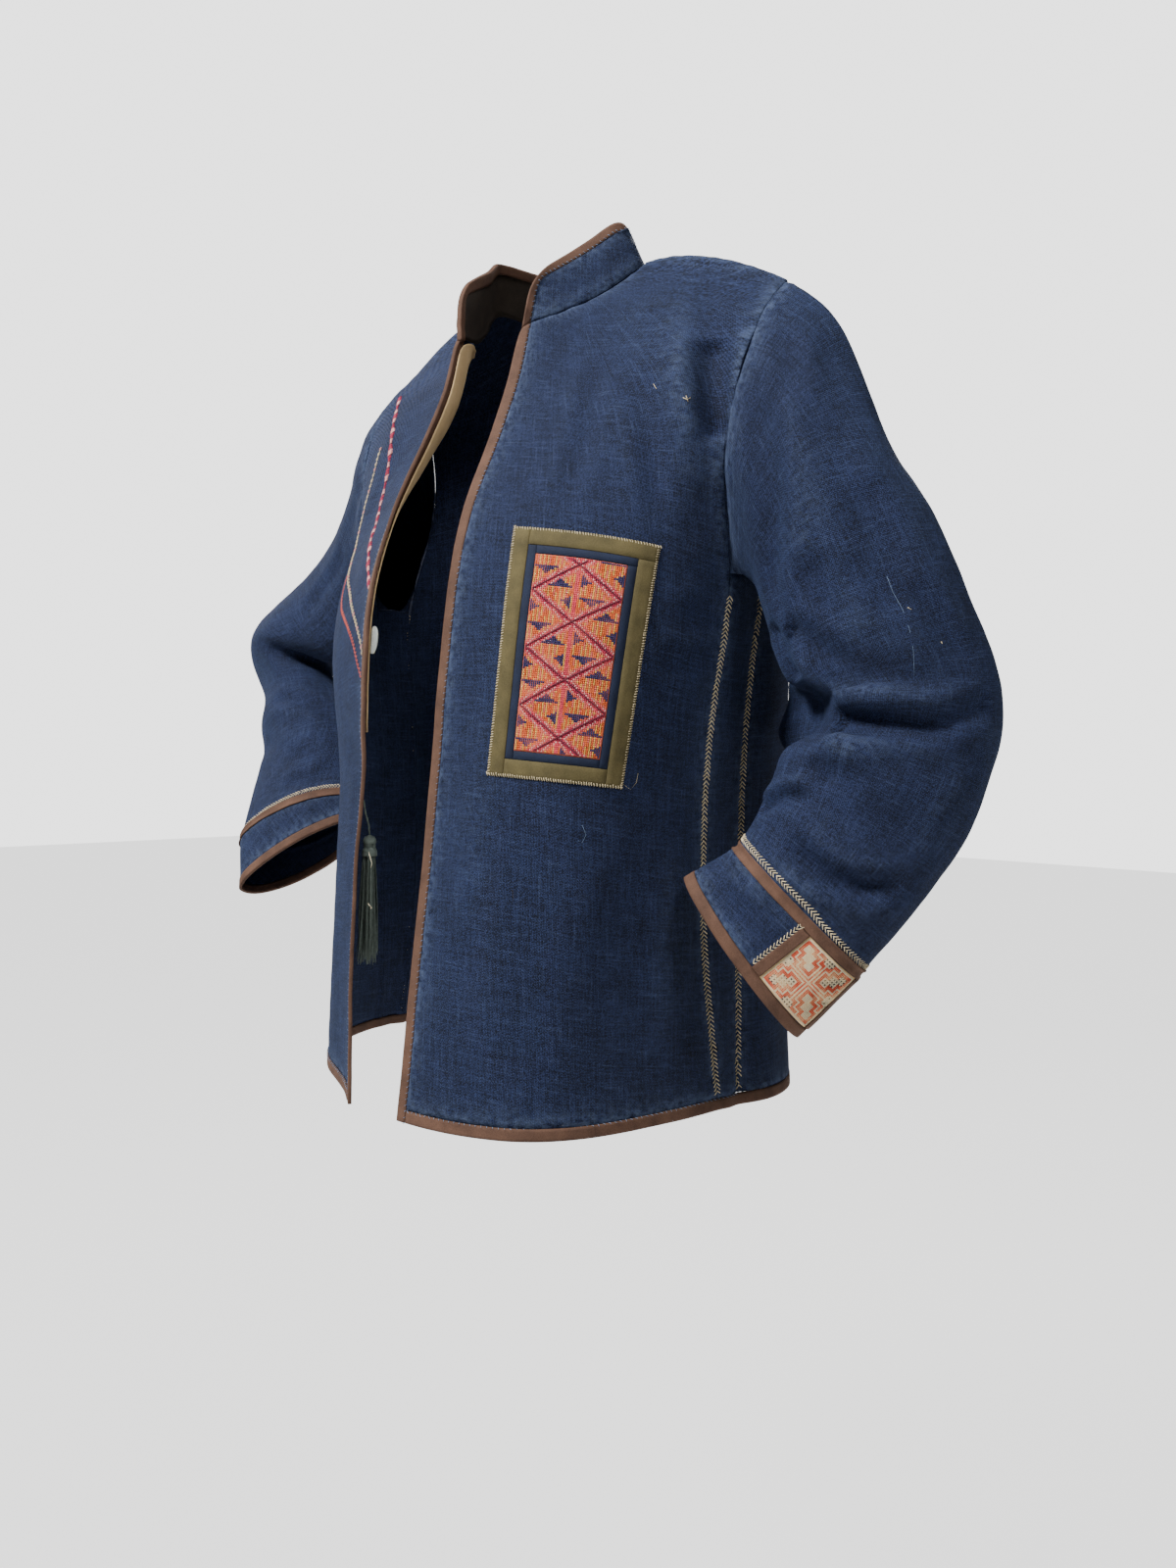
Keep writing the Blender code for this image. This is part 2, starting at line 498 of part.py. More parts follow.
# ---------------------------------------------------------------- one side of the jacket
class Half:
    """One side of the body, in the left form: points and wall normals of its pieces."""

    def __init__(self, front_table, front_folds, sleeve_table, creases):
        places = np.concatenate([[0], ROWS])
        margins = np.where(places <= COLLAR_ROW, BINDING_WIDE, 0.0)
        front = panel_grid(front_table, places, SHARES, front_folds, margins)
        back = panel_grid(BACK, places, SHARES, FOLDS_BACK)
        edge = section_curves(front_table, places)[:, 0]
        neck = section_curves(front_table, np.linspace(COLLAR_ROW, COLLAR_ROW + 1, 65))[:, 0]
        front[COLLAR_END + 1, 0] = read_curve(neck, [BINDING_WIDE / curve_length(neck)])[0]
        middle = (front[:PIT + 2, -1] + back[:PIT + 2, 0]) / 2 + SIDE_BULGE
        side = np.stack([front[:PIT + 2, -1], middle, back[:PIT + 2, 0]], axis=1)
        self.edge = edge[:COLLAR_END + 2]
        self.binding_inside = front[:COLLAR_END + 2, 0]
        self.hem = np.concatenate([front[0], side[0, 1:2], back[0]])
        self.front, self.side, self.back = front[1:], side[1:], back[1:]
        armhole = np.concatenate([self.front[PIT:, -1][::-1], self.side[-1, 1:2],
                                  self.back[PIT:-1, 0]])
        self.sleeve, self.angles = sleeve_grid(sleeve_table, creases, armhole)
        self.cuff_edge = sleeve_rings(sleeve_table, [CUFF_EDGE_RING], self.angles)[0][0]
        self.sleeve_table = sleeve_table
        self.front_normals = grid_normals(self.front)
        self.back_normals = grid_normals(self.back)
        self.side_normals = grid_normals(self.side)
        self.sleeve_normals = grid_normals(self.sleeve, closed=True)
        self.join_seams()

    def join_seams(self):
        """Mitres the walls where front, side, back and sleeve meet."""
        fronts, sides, backs = self.front_normals, self.side_normals, self.back_normals
        ring, count = self.sleeve_normals[0], len(fronts) - PIT
        mitre(fronts[:PIT + 1, -1], sides[:, 0])
        mitre(backs[:PIT + 1, 0], sides[:, -1])
        mitre(fronts[-1], backs[-1, ::-1])
        mitre(ring[:count], fronts[PIT:, -1][::-1])
        mitre(ring[count:count + 1], sides[-1, 1:2])
        mitre(ring[count + 1:], backs[PIT:-1, 0])
        mitre(fronts[PIT, -1], sides[-1, 0], ring[count - 1])
        mitre(backs[PIT, 0], sides[-1, -1], ring[count + 1])
        mitre(fronts[-1, -1], backs[-1, 0], ring[0])
        backs[:NAPE + 1, -1, 0] = 0
        backs[:NAPE + 1, -1] = unit(backs[:NAPE + 1, -1])

    def neckline(self):
        """Points of the collar seam, from the binding to the nape."""
        return np.concatenate([self.front[COLLAR_END:, 0], self.back[NAPE:-1, -1][::-1]])

    def join_collar(self, collar_normals):
        """Mitres the collar with the panels under it, and gives its lower border's normals."""
        fronts, backs = self.front_normals[COLLAR_END:, 0], self.back_normals[NAPE:, -1][::-1]
        count = len(fronts)
        mitre(collar_normals[:count], fronts)
        mitre(collar_normals[count:], backs[1:])
        mitre(collar_normals[count - 1], fronts[-1], backs[0])
        collar_normals[-1, 0] = 0
        backs[-1] = collar_normals[-1] = unit(collar_normals[-1])


# ---------------------------------------------------------------- collar
class CollarHalf:
    """Half of the stand collar, from its round front corner to the middle of the back."""

    def __init__(self, half, top):
        self.top = np.array(top + [(-top[-2][0], top[-2][1], top[-2][2])])
        self.bottom = np.concatenate([half.edge[-1:], half.neckline()])
        steps = np.linalg.norm(np.diff(self.bottom, axis=0), axis=1)
        self.run = np.concatenate([[0], np.cumsum(steps)])
        self.stations = self.run[[0, 3, 5, 7, 9, 11]]
        straight, radius = COLLAR_HIGH - COLLAR_CORNER, COLLAR_CORNER - BINDING_WIDE
        turns = np.radians([30, 60, 90])
        heights = np.concatenate([[0, straight / 2, straight], straight + radius * np.sin(turns)])
        first, last = self.run[1], self.run[-1]
        starts = np.concatenate([[first] * 3, COLLAR_CORNER - radius * np.cos(turns)])
        share = (self.run[1:] - first) / (last - first)
        alongs = [start + share * (last - start) for start in starts]
        self.grid = np.array([self.point(along, np.full(len(along), height))
                              for along, height in zip(alongs, heights)])
        self.normals = grid_normals(self.grid)
        half.join_collar(self.normals[0])
        rim_along = np.concatenate([[0, 0, 0], COLLAR_CORNER * (1 - np.cos(turns)), alongs[-1][1:]])
        rim_high = np.concatenate([heights[:3], straight + COLLAR_CORNER * np.sin(turns),
                                   np.full(len(share) - 1, COLLAR_HIGH)])
        outer = self.point(rim_along, rim_high)
        inner = np.concatenate([self.grid[:, 0], self.grid[-1, 1:]])
        across = np.concatenate([self.normals[:, 0], self.normals[-1, 1:]])
        self.rim, self.rim_normals = np.array([outer, inner]), np.array([across, across])

    def point(self, along, height):
        """Points at metres along the collar seam and metres up from it."""
        row = np.interp(along, self.stations, np.arange(len(self.stations)))
        high = without_overshoot(self.top, row)
        low = np.stack([np.interp(along, self.run, self.bottom[:, k]) for k in range(3)], axis=-1)
        return low + (high - low) * (height / COLLAR_HIGH)[:, None]


# ---------------------------------------------------------------- the pieces
def body_pieces(left, right):
    """Fronts, side panels, back, sleeves and cuffs."""
    for half, side, word in ((left, 1, "left"), (right, -1, "right")):
        wall("front_" + word, trimmed(half.front, TRIM, TRIM, TRIM, TRIM), half.front_normals,
             0, -WALL, "indigo", side)
        wall("side_panel_" + word, trimmed(half.side, TRIM, TRIM, TRIM, TRIM), half.side_normals,
             0, -WALL, "indigo", side)
        wall("sleeve_" + word, trimmed(half.sleeve, TRIM, TRIM), half.sleeve_normals,
             0, -WALL, "indigo", side, closed=True)
    halves = []
    for half in (left, right):
        grid = trimmed(half.back, TRIM, TRIM, TRIM)
        grid[NAPE + 1:, -1] += unit(grid[NAPE + 1:, -2] - grid[NAPE + 1:, -1]) * TRIM
        grid[NAPE, -1] += unit(grid[NAPE - 1, -1] - grid[NAPE, -1]) * TRIM
        halves.append((grid, half.back_normals))
    paired_wall("back", *halves, NAPE + 1, 0, -WALL, "indigo")


def edge_bindings(left, right):
    """The brown bindings of the front edges and of the hem."""
    outer, inner = BINDING_PROUD, -WALL - BINDING_PROUD
    for half, side, word in ((left, 1, "left"), (right, -1, "right")):
        normals = half.front_normals[:COLLAR_END + 1, 0]
        normals = np.concatenate([normals[:1], normals])
        grid = trimmed(np.array([half.edge, half.binding_inside]), 0, TRIM, 0, TRIM)
        wall("binding_front_" + word, grid, np.array([normals, normals]), outer, inner, "brown",
             side)
    halves = []
    for half in (left, right):
        top = np.concatenate([half.front[0], half.side[0, 1:2], half.back[0]])
        normals = np.concatenate([half.front_normals[0], half.side_normals[0, 1:2],
                                  half.back_normals[0]])
        grid = trimmed(np.array([half.hem, top]), 0, TRIM, TRIM, 0)
        halves.append((grid, np.array([normals, normals])))
    paired_wall("binding_hem", *halves, 2, outer, inner, "brown")


def collar_pieces(left, right):
    """The collar, its brown facing inside and the binding round its edge."""
    halves, rims = [], []
    for half, top in ((left, COLLAR_LEFT), (right, COLLAR_RIGHT)):
        collar = CollarHalf(half, top)
        grid = trimmed(collar.grid, TWIST_TRIM, TWIST_TRIM, TRIM)
        halves.append((grid, collar.normals))
        rims.append((trimmed(collar.rim, 0, TWIST_TRIM, TRIM, 0), collar.rim_normals))
    rows = len(halves[0][0])
    paired_wall("collar", *halves, rows, 0, -WALL, "indigo")
    paired_wall("collar_facing", *halves, rows, -WALL - SEAM, -WALL - SEAM - FACING_THICK,
                "dark brown")
    paired_wall("binding_collar", *rims, 2, BINDING_PROUD,
                -WALL - SEAM - FACING_THICK - BINDING_PROUD, "brown")


def front_facing(right):
    """Cream facing inside the right front: up to the neckline, and over the inner side of the
    binding below it."""
    first, last = np.searchsorted(ROWS, FACING_ROWS)
    panel, normals = right.front[first:last, :FACING_COLUMNS], right.front_normals[first:last]
    bound = COLLAR_END + 1 - first
    fold = right.edge[first + 1:COLLAR_END + 2]
    edge = panel[:, 0].copy()
    edge[:bound] = fold + unit(edge[:bound] - fold) * FACING_EDGE
    grid = np.concatenate([edge[:, None], panel], axis=1)
    normals = np.concatenate([normals[:, :1], normals[:, :FACING_COLUMNS]], axis=1)
    neck = bound - 1
    for values in (grid, normals):
        values[neck, :2] += (values[neck - 1, :2] - values[neck, :2]) * FACING_BELOW_NECK
        values[bound:, 1] += (values[bound:, 2] - values[bound:, 1]) * FACING_BELOW_NECK
    index = np.arange(grid.shape[0] * grid.shape[1]).reshape(grid.shape[:2])
    index[bound:, 0] = index[bound:, 1]
    top = -WALL - BINDING_PROUD - FACING_GAP
    thicken("facing_right", grid.reshape(-1, 3) * MIRROR, normals.reshape(-1, 3) * MIRROR,
            grid_faces(index), top, top - FACING_THICK, "cream")


def cuff_pieces(half, side, word):
    """Cuff band, its binding, the tape on its seam and the framed patch."""
    seam, edge = half.sleeve[-1], half.cuff_edge
    bound = edge + unit(seam - edge) * BINDING_WIDE
    grid = np.array([seam + (bound - seam) * share for share in (0, 1 / 3, 2 / 3, 1)])
    normals = grid_normals(grid, closed=True)
    mitre(normals[0], half.sleeve_normals[-1])
    wall("cuff_" + word, trimmed(grid, TRIM, TRIM), normals, 0, -WALL, "indigo", side, True)
    rim, across = trimmed(np.array([edge, bound]), 0, TRIM), np.array([normals[-1]] * 2)
    wall("binding_cuff_" + word, rim, across, BINDING_PROUD, -WALL - BINDING_PROUD, "brown", side,
         True)
    upper = seam + unit(half.sleeve[-2] - seam) * TAPE_WIDE / 2
    lower = seam + unit(edge - seam) * TAPE_WIDE / 2
    wall("cuff_tape_" + word, np.array([upper, seam, lower]), np.array([normals[0]] * 3),
         LIFT + TAPE_THICK, LIFT, "brown", side, True)
    start, stop = CUFF_PATCHES[word]
    cuff_patch_piece(half, "cuff_patch_" + word, start, stop, 7, "coral", side)
    cuff_patch_piece(half, "patch_tape_low_" + word, start - SEAM - TAPE_WIDE, start - SEAM, 3,
                     "brown", side)
    cuff_patch_piece(half, "patch_tape_high_" + word, stop + SEAM, stop + SEAM + TAPE_WIDE, 3,
                     "brown", side)


def cuff_patch_piece(half, name, start, stop, columns, look, side):
    """A piece that lies on the cuff between its tape and its binding, from one distance round
    the cuff to another."""
    fine = np.arange(-150.0, 150.0, 2.0)
    seam = sleeve_rings(half.sleeve_table, [CUFF_SEAM_RING], fine)[0][0]
    edge = sleeve_rings(half.sleeve_table, [CUFF_EDGE_RING], fine)[0][0]
    middle = (seam + edge) / 2
    run = np.concatenate([[0], np.cumsum(np.linalg.norm(np.diff(middle, axis=0), axis=1))])
    run -= np.interp(0, fine, run)
    angles = np.interp(np.linspace(start, stop, columns), run, fine)
    seam = sleeve_rings(half.sleeve_table, [CUFF_SEAM_RING], angles)[0][0]
    edge = sleeve_rings(half.sleeve_table, [CUFF_EDGE_RING], angles)[0][0]
    top = seam + unit(edge - seam) * (TAPE_WIDE / 2 + SEAM)
    bottom = edge + unit(seam - edge) * (BINDING_WIDE + SEAM)
    grid = np.array([top + (bottom - top) * share for share in np.linspace(0, 1, 4)])
    wall(name, grid, grid_normals(grid), LIFT + PATCH_THICK, LIFT, look, side)


def clip(polygon, point, inward):
    """The part of a convex polygon on the inner side of a line through a point."""
    kept = []
    depth = [(p - point) @ inward for p in polygon]
    for k, here in enumerate(polygon):
        a, b = depth[k - 1], depth[k]
        if (a > 0) != (b > 0):
            kept.append(polygon[k - 1] + (here - polygon[k - 1]) * a / (a - b))
        if b > 0:
            kept.append(here)
    return kept


def cut_from(name, grid, normals, outlines, inner, thick, look, side=1):
    """A piece that lies on a panel: the panel's own facets, cut to convex outlines given as (row,
    column) corners in the order of the panel's faces, and moved out."""
    points, point_normals, faces, known = [], [], [], {}
    corners = np.array([(0, 0), (0, 1), (1, 1), (1, 0)])
    for outline in outlines:
        outline = np.array(outline, float)
        low = np.floor(outline.min(axis=0)).astype(int)
        high = np.ceil(outline.max(axis=0)).astype(int)
        for i in range(low[0], high[0]):
            for j in range(low[1], high[1]):
                for cell in (corners[[0, 1, 2]], corners[[0, 2, 3]]):
                    polygon = list(np.array(cell + (i, j), float))
                    for start, stop in zip(outline, np.roll(outline, -1, axis=0)):
                        along = stop - start
                        polygon = clip(polygon, start, np.array([-along[1], along[0]]))
                        if len(polygon) < 3:
                            break
                    if len(polygon) < 3:
                        continue
                    numbers = []
                    for row, column in polygon:
                        key = (round(row, 4), round(column, 4))
                        if key not in known:
                            known[key] = len(points)
                            points.append(facet_read(grid, cell, i, j, row, column))
                            point_normals.append(facet_read(normals, cell, i, j, row, column))
                        if known[key] not in numbers:
                            numbers.append(known[key])
                    faces += [(numbers[0], numbers[k], numbers[k + 1])
                              for k in range(1, len(numbers) - 1)]
    flip = MIRROR if side < 0 else 1
    thicken(name, np.array(points) * flip, np.array(point_normals) * flip, faces, inner + thick,
            inner, look)


def facet_read(grid, cell, i, j, row, column):
    """Value on the facet of a grid cell, at a fractional row and column."""
    a, b, c = (grid[i + r, j + k] for r, k in cell)
    u, v = row - i, column - j
    if tuple(cell[1]) == (0, 1):
        return a * (1 - v) + b * (v - u) + c * u
    return a * (1 - u) + b * v + c * (u - v)


def chest_patch(left):
    """Olive frame, navy border and embroidered panel on the left front."""
    corners = np.array(PATCH_CORNERS)
    corners = np.stack([np.interp(corners[:, 0], ROWS, np.arange(len(ROWS))),
                        corners[:, 1] * (len(SHARES) - 1)], axis=1)
    spots = read_grid(left.front, corners[:, 0], corners[:, 1])
    wide = (np.linalg.norm(spots[1] - spots[0]) + np.linalg.norm(spots[2] - spots[3])) / 2
    high = (np.linalg.norm(spots[3] - spots[0]) + np.linalg.norm(spots[2] - spots[1])) / 2
    print(f"chest patch {wide * 1000:.0f} x {high * 1000:.0f} mm")

    def inset(margin):
        """Corners of the patch moved in by a margin."""
        a, b = margin / wide, margin / high
        shares = np.array([(a, b), (1 - a, b), (1 - a, 1 - b), (a, 1 - b)])
        across, down = shares[:, :1], shares[:, 1:]
        return ((corners[0] * (1 - across) + corners[1] * across) * (1 - down)
                + (corners[3] * (1 - across) + corners[2] * across) * down)

    def strips(outer, inner):
        """Four strips with mitred corners between two outlines."""
        return [(outer[k], outer[(k + 1) % 4], inner[(k + 1) % 4], inner[k]) for k in range(4)]

    frame_in = PATCH_FRAME_WIDE
    border_in = PATCH_FRAME_WIDE + PATCH_BORDER_WIDE
    pieces = (("patch_frame", strips(inset(0), inset(frame_in)), "olive"),
              ("patch_border", strips(inset(frame_in + SEAM), inset(border_in)), "navy"),
              ("patch_panel", [inset(border_in + SEAM)], "embroidery"))
    for name, outlines, look in pieces:
        cut_from(name, left.front, left.front_normals, outlines, SEAM, PATCH_THICK, look)


def cylinder(name, low, high, radius_low, radius_high, sides, look, bevel=0.0):
    """A closed round bar or cone between two points."""
    low, high = Vector(low), Vector(high)
    mesh = bmesh.new()
    bmesh.ops.create_cone(mesh, cap_ends=True, segments=sides, radius1=radius_low,
                          radius2=radius_high, depth=(high - low).length)
    if bevel:
        rims = [e for e in mesh.edges if abs(e.verts[0].co.z - e.verts[1].co.z) < 1e-6]
        bmesh.ops.bevel(mesh, geom=rims, offset=bevel, segments=1, affect="EDGES")
    turn = (high - low).to_track_quat("Z", "Y").to_matrix().to_4x4()
    bmesh.ops.transform(mesh, matrix=Matrix.Translation((low + high) / 2) @ turn, verts=mesh.verts)
    bmesh.ops.recalc_face_normals(mesh, faces=mesh.faces)
    made = bpy.data.meshes.new(name)
    mesh.to_mesh(made)
    mesh.free()
    made.materials.append(material(name, *LOOKS[look]))
    made.shade_smooth()
    made.set_sharp_from_angle(angle=np.radians(50))
    solid = bpy.data.objects.new(name, made)
    bpy.context.scene.collection.objects.link(solid)
    return solid


def at_edge(half, place, metres):
    """Point and outward normal of a front, at metres in from its edge (below zero = beyond)."""
    edge = np.array([np.interp(place, np.concatenate([[0], ROWS[:COLLAR_END + 1]]),
                               half.edge[:, k]) for k in range(3)])
    row = np.interp(place, ROWS, np.arange(len(ROWS)))
    inside = read_grid(half.front, row, 1.0)
    normal = unit(read_grid(half.front_normals, row, 0.0))
    return edge + unit(inside - edge) * metres, normal


def press_studs(left, right):
    """Clear studs sewn inside the front edges, reaching past them."""
    for half, flip, word in ((left, 1, "left"), (right, MIRROR, "right")):
        place, metres, depth, radius = STUDS[word]
        point, normal = at_edge(half, place, metres)
        face = point - normal * depth
        cylinder("press_stud_" + word, (face - normal * STUD_THICK) * flip, face * flip,
                 radius, radius, 20, "plastic", 0.0006)


def tassel(right):
    """Tassel on a short cord inside the right front edge; its strands grow out of its head."""
    point, normal = at_edge(right, TASSEL_ROW, TASSEL_IN)
    root = (point - normal * (BEHIND_BINDING + CORD_RADIUS)) * MIRROR
    down = np.array([0, 0, -1.0])
    head_top = root + TASSEL_HANG
    head_low = head_top + down * TASSEL_HEAD
    head = cylinder("tassel", head_low, head_top, HEAD_RADIUS, HEAD_RADIUS * 0.6, 16, "tassel")
    parts = [cylinder("cord", head_top + down * 0.003, root, CORD_RADIUS, CORD_RADIUS, 6, "tassel")]
    for number in range(TASSEL_STRANDS):
        inner = number % 3 == 0
        turn = number * 2 * np.pi / TASSEL_STRANDS
        away = np.array([np.cos(turn), np.sin(turn), 0])
        start = head_low - down * 0.004 + away * HEAD_RADIUS * (0.35 if inner else 0.72)
        length = TASSEL_LONG - TASSEL_HEAD - 0.006 * (number * 7 % 5) / 4
        end = head_low + down * length + away * HEAD_RADIUS * (0.7 if inner else 1.4)
        parts.append(cylinder(f"strand {number}", end, start, STRAND_RADIUS * 0.8, STRAND_RADIUS,
                              3, "tassel"))
    fuse(head, parts)


def fuse(body, parts):
    """Unites parts with a body by an exact Boolean, and removes the parts."""
    mesh = bmesh.new()
    for part in parts:
        mesh.from_mesh(part.data)
    joined = bpy.data.meshes.new("parts")
    mesh.to_mesh(joined)
    mesh.free()
    tool = bpy.data.objects.new("parts", joined)
    bpy.context.scene.collection.objects.link(tool)
    union = body.modifiers.new("fuse", "BOOLEAN")
    union.operation = "UNION"
    union.solver = "EXACT"
    union.object = tool
    bpy.context.view_layer.update()
    evaluated = body.evaluated_get(bpy.context.evaluated_depsgraph_get())
    result = bpy.data.meshes.new_from_object(evaluated)
    body.modifiers.clear()
    body.data = result
    for extra in [tool, *parts]:
        bpy.data.objects.remove(extra)


def build():
    """The whole jacket."""
    for old in list(bpy.data.objects):
        bpy.data.objects.remove(old)
    left = Half(FRONT_LEFT, FOLDS_LEFT, SLEEVE_LEFT, CREASES_LEFT)
    right = Half(FRONT_RIGHT, FOLDS_RIGHT, SLEEVE_RIGHT, CREASES_RIGHT)
    collar_pieces(left, right)
    cuff_pieces(left, 1, "left")
    cuff_pieces(right, -1, "right")
    body_pieces(left, right)
    edge_bindings(left, right)
    front_facing(right)
    chest_patch(left)
    press_studs(left, right)
    tassel(right)


build()
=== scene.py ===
# %% [markdown]
# # An embroidered hemp jacket
#
# This notebook dresses a packed jacket, piece by piece. The solids under it already have the cut,
# the pose and the largest folds, so each step takes a solid, makes it smooth cloth, presses the
# smaller creases into it, and then sews on the tapes, patches and stitches.
# Everything is in metres, with Z up and the wearer looking along -Y.

# %% Load the frame
import math
import random

import bmesh
import bpy
import numpy as np
from mathutils import Matrix, Vector, noise
from mathutils.bvhtree import BVHTree
from mathutils.kdtree import KDTree


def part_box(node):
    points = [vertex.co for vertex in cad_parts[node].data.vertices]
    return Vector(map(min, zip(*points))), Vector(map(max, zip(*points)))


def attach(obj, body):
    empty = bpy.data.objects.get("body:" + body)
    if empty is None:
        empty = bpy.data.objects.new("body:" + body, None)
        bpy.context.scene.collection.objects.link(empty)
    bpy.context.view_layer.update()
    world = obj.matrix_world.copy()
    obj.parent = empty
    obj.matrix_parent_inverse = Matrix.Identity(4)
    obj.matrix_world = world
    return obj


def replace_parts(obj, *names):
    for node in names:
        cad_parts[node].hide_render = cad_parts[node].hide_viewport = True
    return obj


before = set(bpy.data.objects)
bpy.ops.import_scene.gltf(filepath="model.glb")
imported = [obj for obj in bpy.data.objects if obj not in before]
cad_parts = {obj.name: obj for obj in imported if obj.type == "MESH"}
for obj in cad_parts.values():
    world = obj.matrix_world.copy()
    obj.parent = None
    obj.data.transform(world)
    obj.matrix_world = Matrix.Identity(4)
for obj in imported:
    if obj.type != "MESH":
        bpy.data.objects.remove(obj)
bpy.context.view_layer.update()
MM = 0.001
print("solids:", len(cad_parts))

# %% [markdown]
# ## The camera
#
# The jacket is seen from its left front, a little below the chest, with a wide lens held close.
# A camera could be aimed with a constraint, but three directions of its own are simpler to read:
# where it looks, what is right, and what is up. The small roll is in the last two.

# %% Place the camera
TURN, ROLL, TILT = math.radians(40.4), math.radians(1.0), math.radians(1.47)
PICTURE_WIDE, PICTURE_HIGH = 1200, 1600
LENS_PIXELS, FILM_WIDE = 1208, 36
EYE_BACK, EYE_ASIDE, EYE_LOW = 0.941, 0.0353, -0.3685
level_right = Vector((math.cos(TURN), math.sin(TURN), 0))
level_back = Vector((math.sin(TURN), -math.cos(TURN), 0))
EYE = level_back * EYE_BACK + level_right * EYE_ASIDE + Vector((0, 0, EYE_LOW))
look = -level_back * math.cos(TILT) - Vector((0, 0, math.sin(TILT)))
upright = -level_back * math.sin(TILT) + Vector((0, 0, math.cos(TILT)))
eye_right = level_right * math.cos(ROLL) + upright * math.sin(ROLL)
eye_up = upright * math.cos(ROLL) - level_right * math.sin(ROLL)



def in_scene(name, data):
    """A new object in the scene, made from a mesh, a lamp or a lens."""
    made = bpy.data.objects.new(name, data)
    bpy.context.scene.collection.objects.link(made)
    return made


lens = bpy.data.cameras.new("studio_camera")
lens.sensor_width = FILM_WIDE
lens.lens = FILM_WIDE * LENS_PIXELS / PICTURE_HIGH
lens.clip_start, lens.clip_end = 0.05, 50
camera = in_scene("studio_camera", lens)
camera.matrix_world = Matrix.Translation(EYE) @ Matrix(
    (eye_right, eye_up, -look)).transposed().to_4x4()
bpy.context.scene.camera = camera
print("lens", round(lens.lens, 1), "mm, eye at", [round(x, 3) for x in EYE])


def sight(x, y):
    """The direction in which the camera sees a place of a 1200 by 1600 picture."""
    across, down = (x - PICTURE_WIDE / 2) / LENS_PIXELS, (y - PICTURE_HIGH / 2) / LENS_PIXELS
    return (look + eye_right * across - eye_up * down).normalized()


# %% [markdown]
# ## Shader maths that reads like sums
#
# Woven cloth is easiest to describe as arithmetic on two lengths: how far across the cloth, and
# how far along it. The class below wraps one output of a shader node, so that an expression
# such as `1 - mask * 0.5` adds its own Math nodes. Any other node comes from `make`.

# %% Wrap a socket
class Wire:
    """An output of a shader node, which sums and products can be written with."""

    def __init__(self, tree, socket=None):
        self.tree, self.socket = tree, socket

    def make(self, kind, settings=None, inputs=None, out=0):
        """Adds a node: its settings first, then the values or wires of its sockets."""
        node = self.tree.nodes.new(kind)
        for name, value in (settings or {}).items():
            if name == "stops":
                while len(node.color_ramp.elements) < len(value):
                    node.color_ramp.elements.new(0.5)
                for stop, (place, colour) in zip(node.color_ramp.elements, value):
                    stop.position, stop.color = place, colour
            else:
                setattr(node, name, value)
        for name, value in (inputs or {}).items():
            if isinstance(value, Wire):
                self.tree.links.new(value.socket, node.inputs[name])
            else:
                node.inputs[name].default_value = value
        return Wire(self.tree, node.outputs[out] if len(node.outputs) else None)

    def beside(self, name):
        """Another output of the same node."""
        return Wire(self.tree, self.socket.node.outputs[name])

    def math(self, operation, *values):
        return self.make("ShaderNodeMath", {"operation": operation}, dict(enumerate(values)))

    def __add__(self, other):
        return self.math("ADD", self, other)

    def __sub__(self, other):
        return self.math("SUBTRACT", self, other)

    def __rsub__(self, other):
        return self.math("SUBTRACT", other, self)

    def __mul__(self, other):
        return self.math("MULTIPLY", self, other)

    def __truediv__(self, other):
        return self.math("DIVIDE", self, other)

    def __abs__(self):
        return self.math("ABSOLUTE", self)

    __radd__, __rmul__ = __add__, __mul__

    def sine(self):
        return self.math("SINE", self)

    def clamped(self):
        return self.make("ShaderNodeClamp", {}, {0: self})

    def stretched(self, x, y, z=1.0):
        """The same place with each direction scaled, half a unit off the grid in the third."""
        return self.make("ShaderNodeVectorMath", {"operation": "MULTIPLY_ADD"},
                         {0: self, 1: (x, y, z), 2: (0.0, 0.0, 0.5)})

    def noise(self, x, y, z=1.0, detail=2.0):
        """Noise whose grains are 1/x by 1/y by 1/z metres."""
        return self.make("ShaderNodeTexNoise", {}, {"Vector": self.stretched(x, y, z),
                                                    "Scale": 1.0, "Detail": detail})

    def ramp(self, *stops):
        return self.make("ShaderNodeValToRGB", {"stops": stops}, {0: self})

    def tinted(self, under, over, how="MIX"):
        """Mixes two colours, with this wire as the share of the second."""
        return self.make("ShaderNodeMix", {"data_type": "RGBA", "blend_type": how},
                         {0: self, 6: under, 7: over}, out=2)

print("a wire can", ", ".join(word for word in vars(Wire) if not word.startswith("_")))


# %% Mix dyes and finishes
def dye(red, green, blue):
    """A colour from its everyday 0 to 255 values."""
    def linear(value):
        value /= 255
        return value / 12.92 if value <= 0.04045 else ((value + 0.055) / 1.055) ** 2.4
    return (linear(red), linear(green), linear(blue), 1.0)


def new_finish(name, **fixed):
    """A material with one shader. What is the same all over goes straight onto its sockets."""
    finish = bpy.data.materials.new(name)
    finish.use_nodes = True
    finish.node_tree.nodes.clear()
    start = Wire(finish.node_tree)
    shader = start.make("ShaderNodeBsdfPrincipled", {},
                        {word.replace("_", " "): value for word, value in fixed.items()})
    start.make("ShaderNodeOutputMaterial", {}, {"Surface": shader})
    return finish, start, shader.socket.node


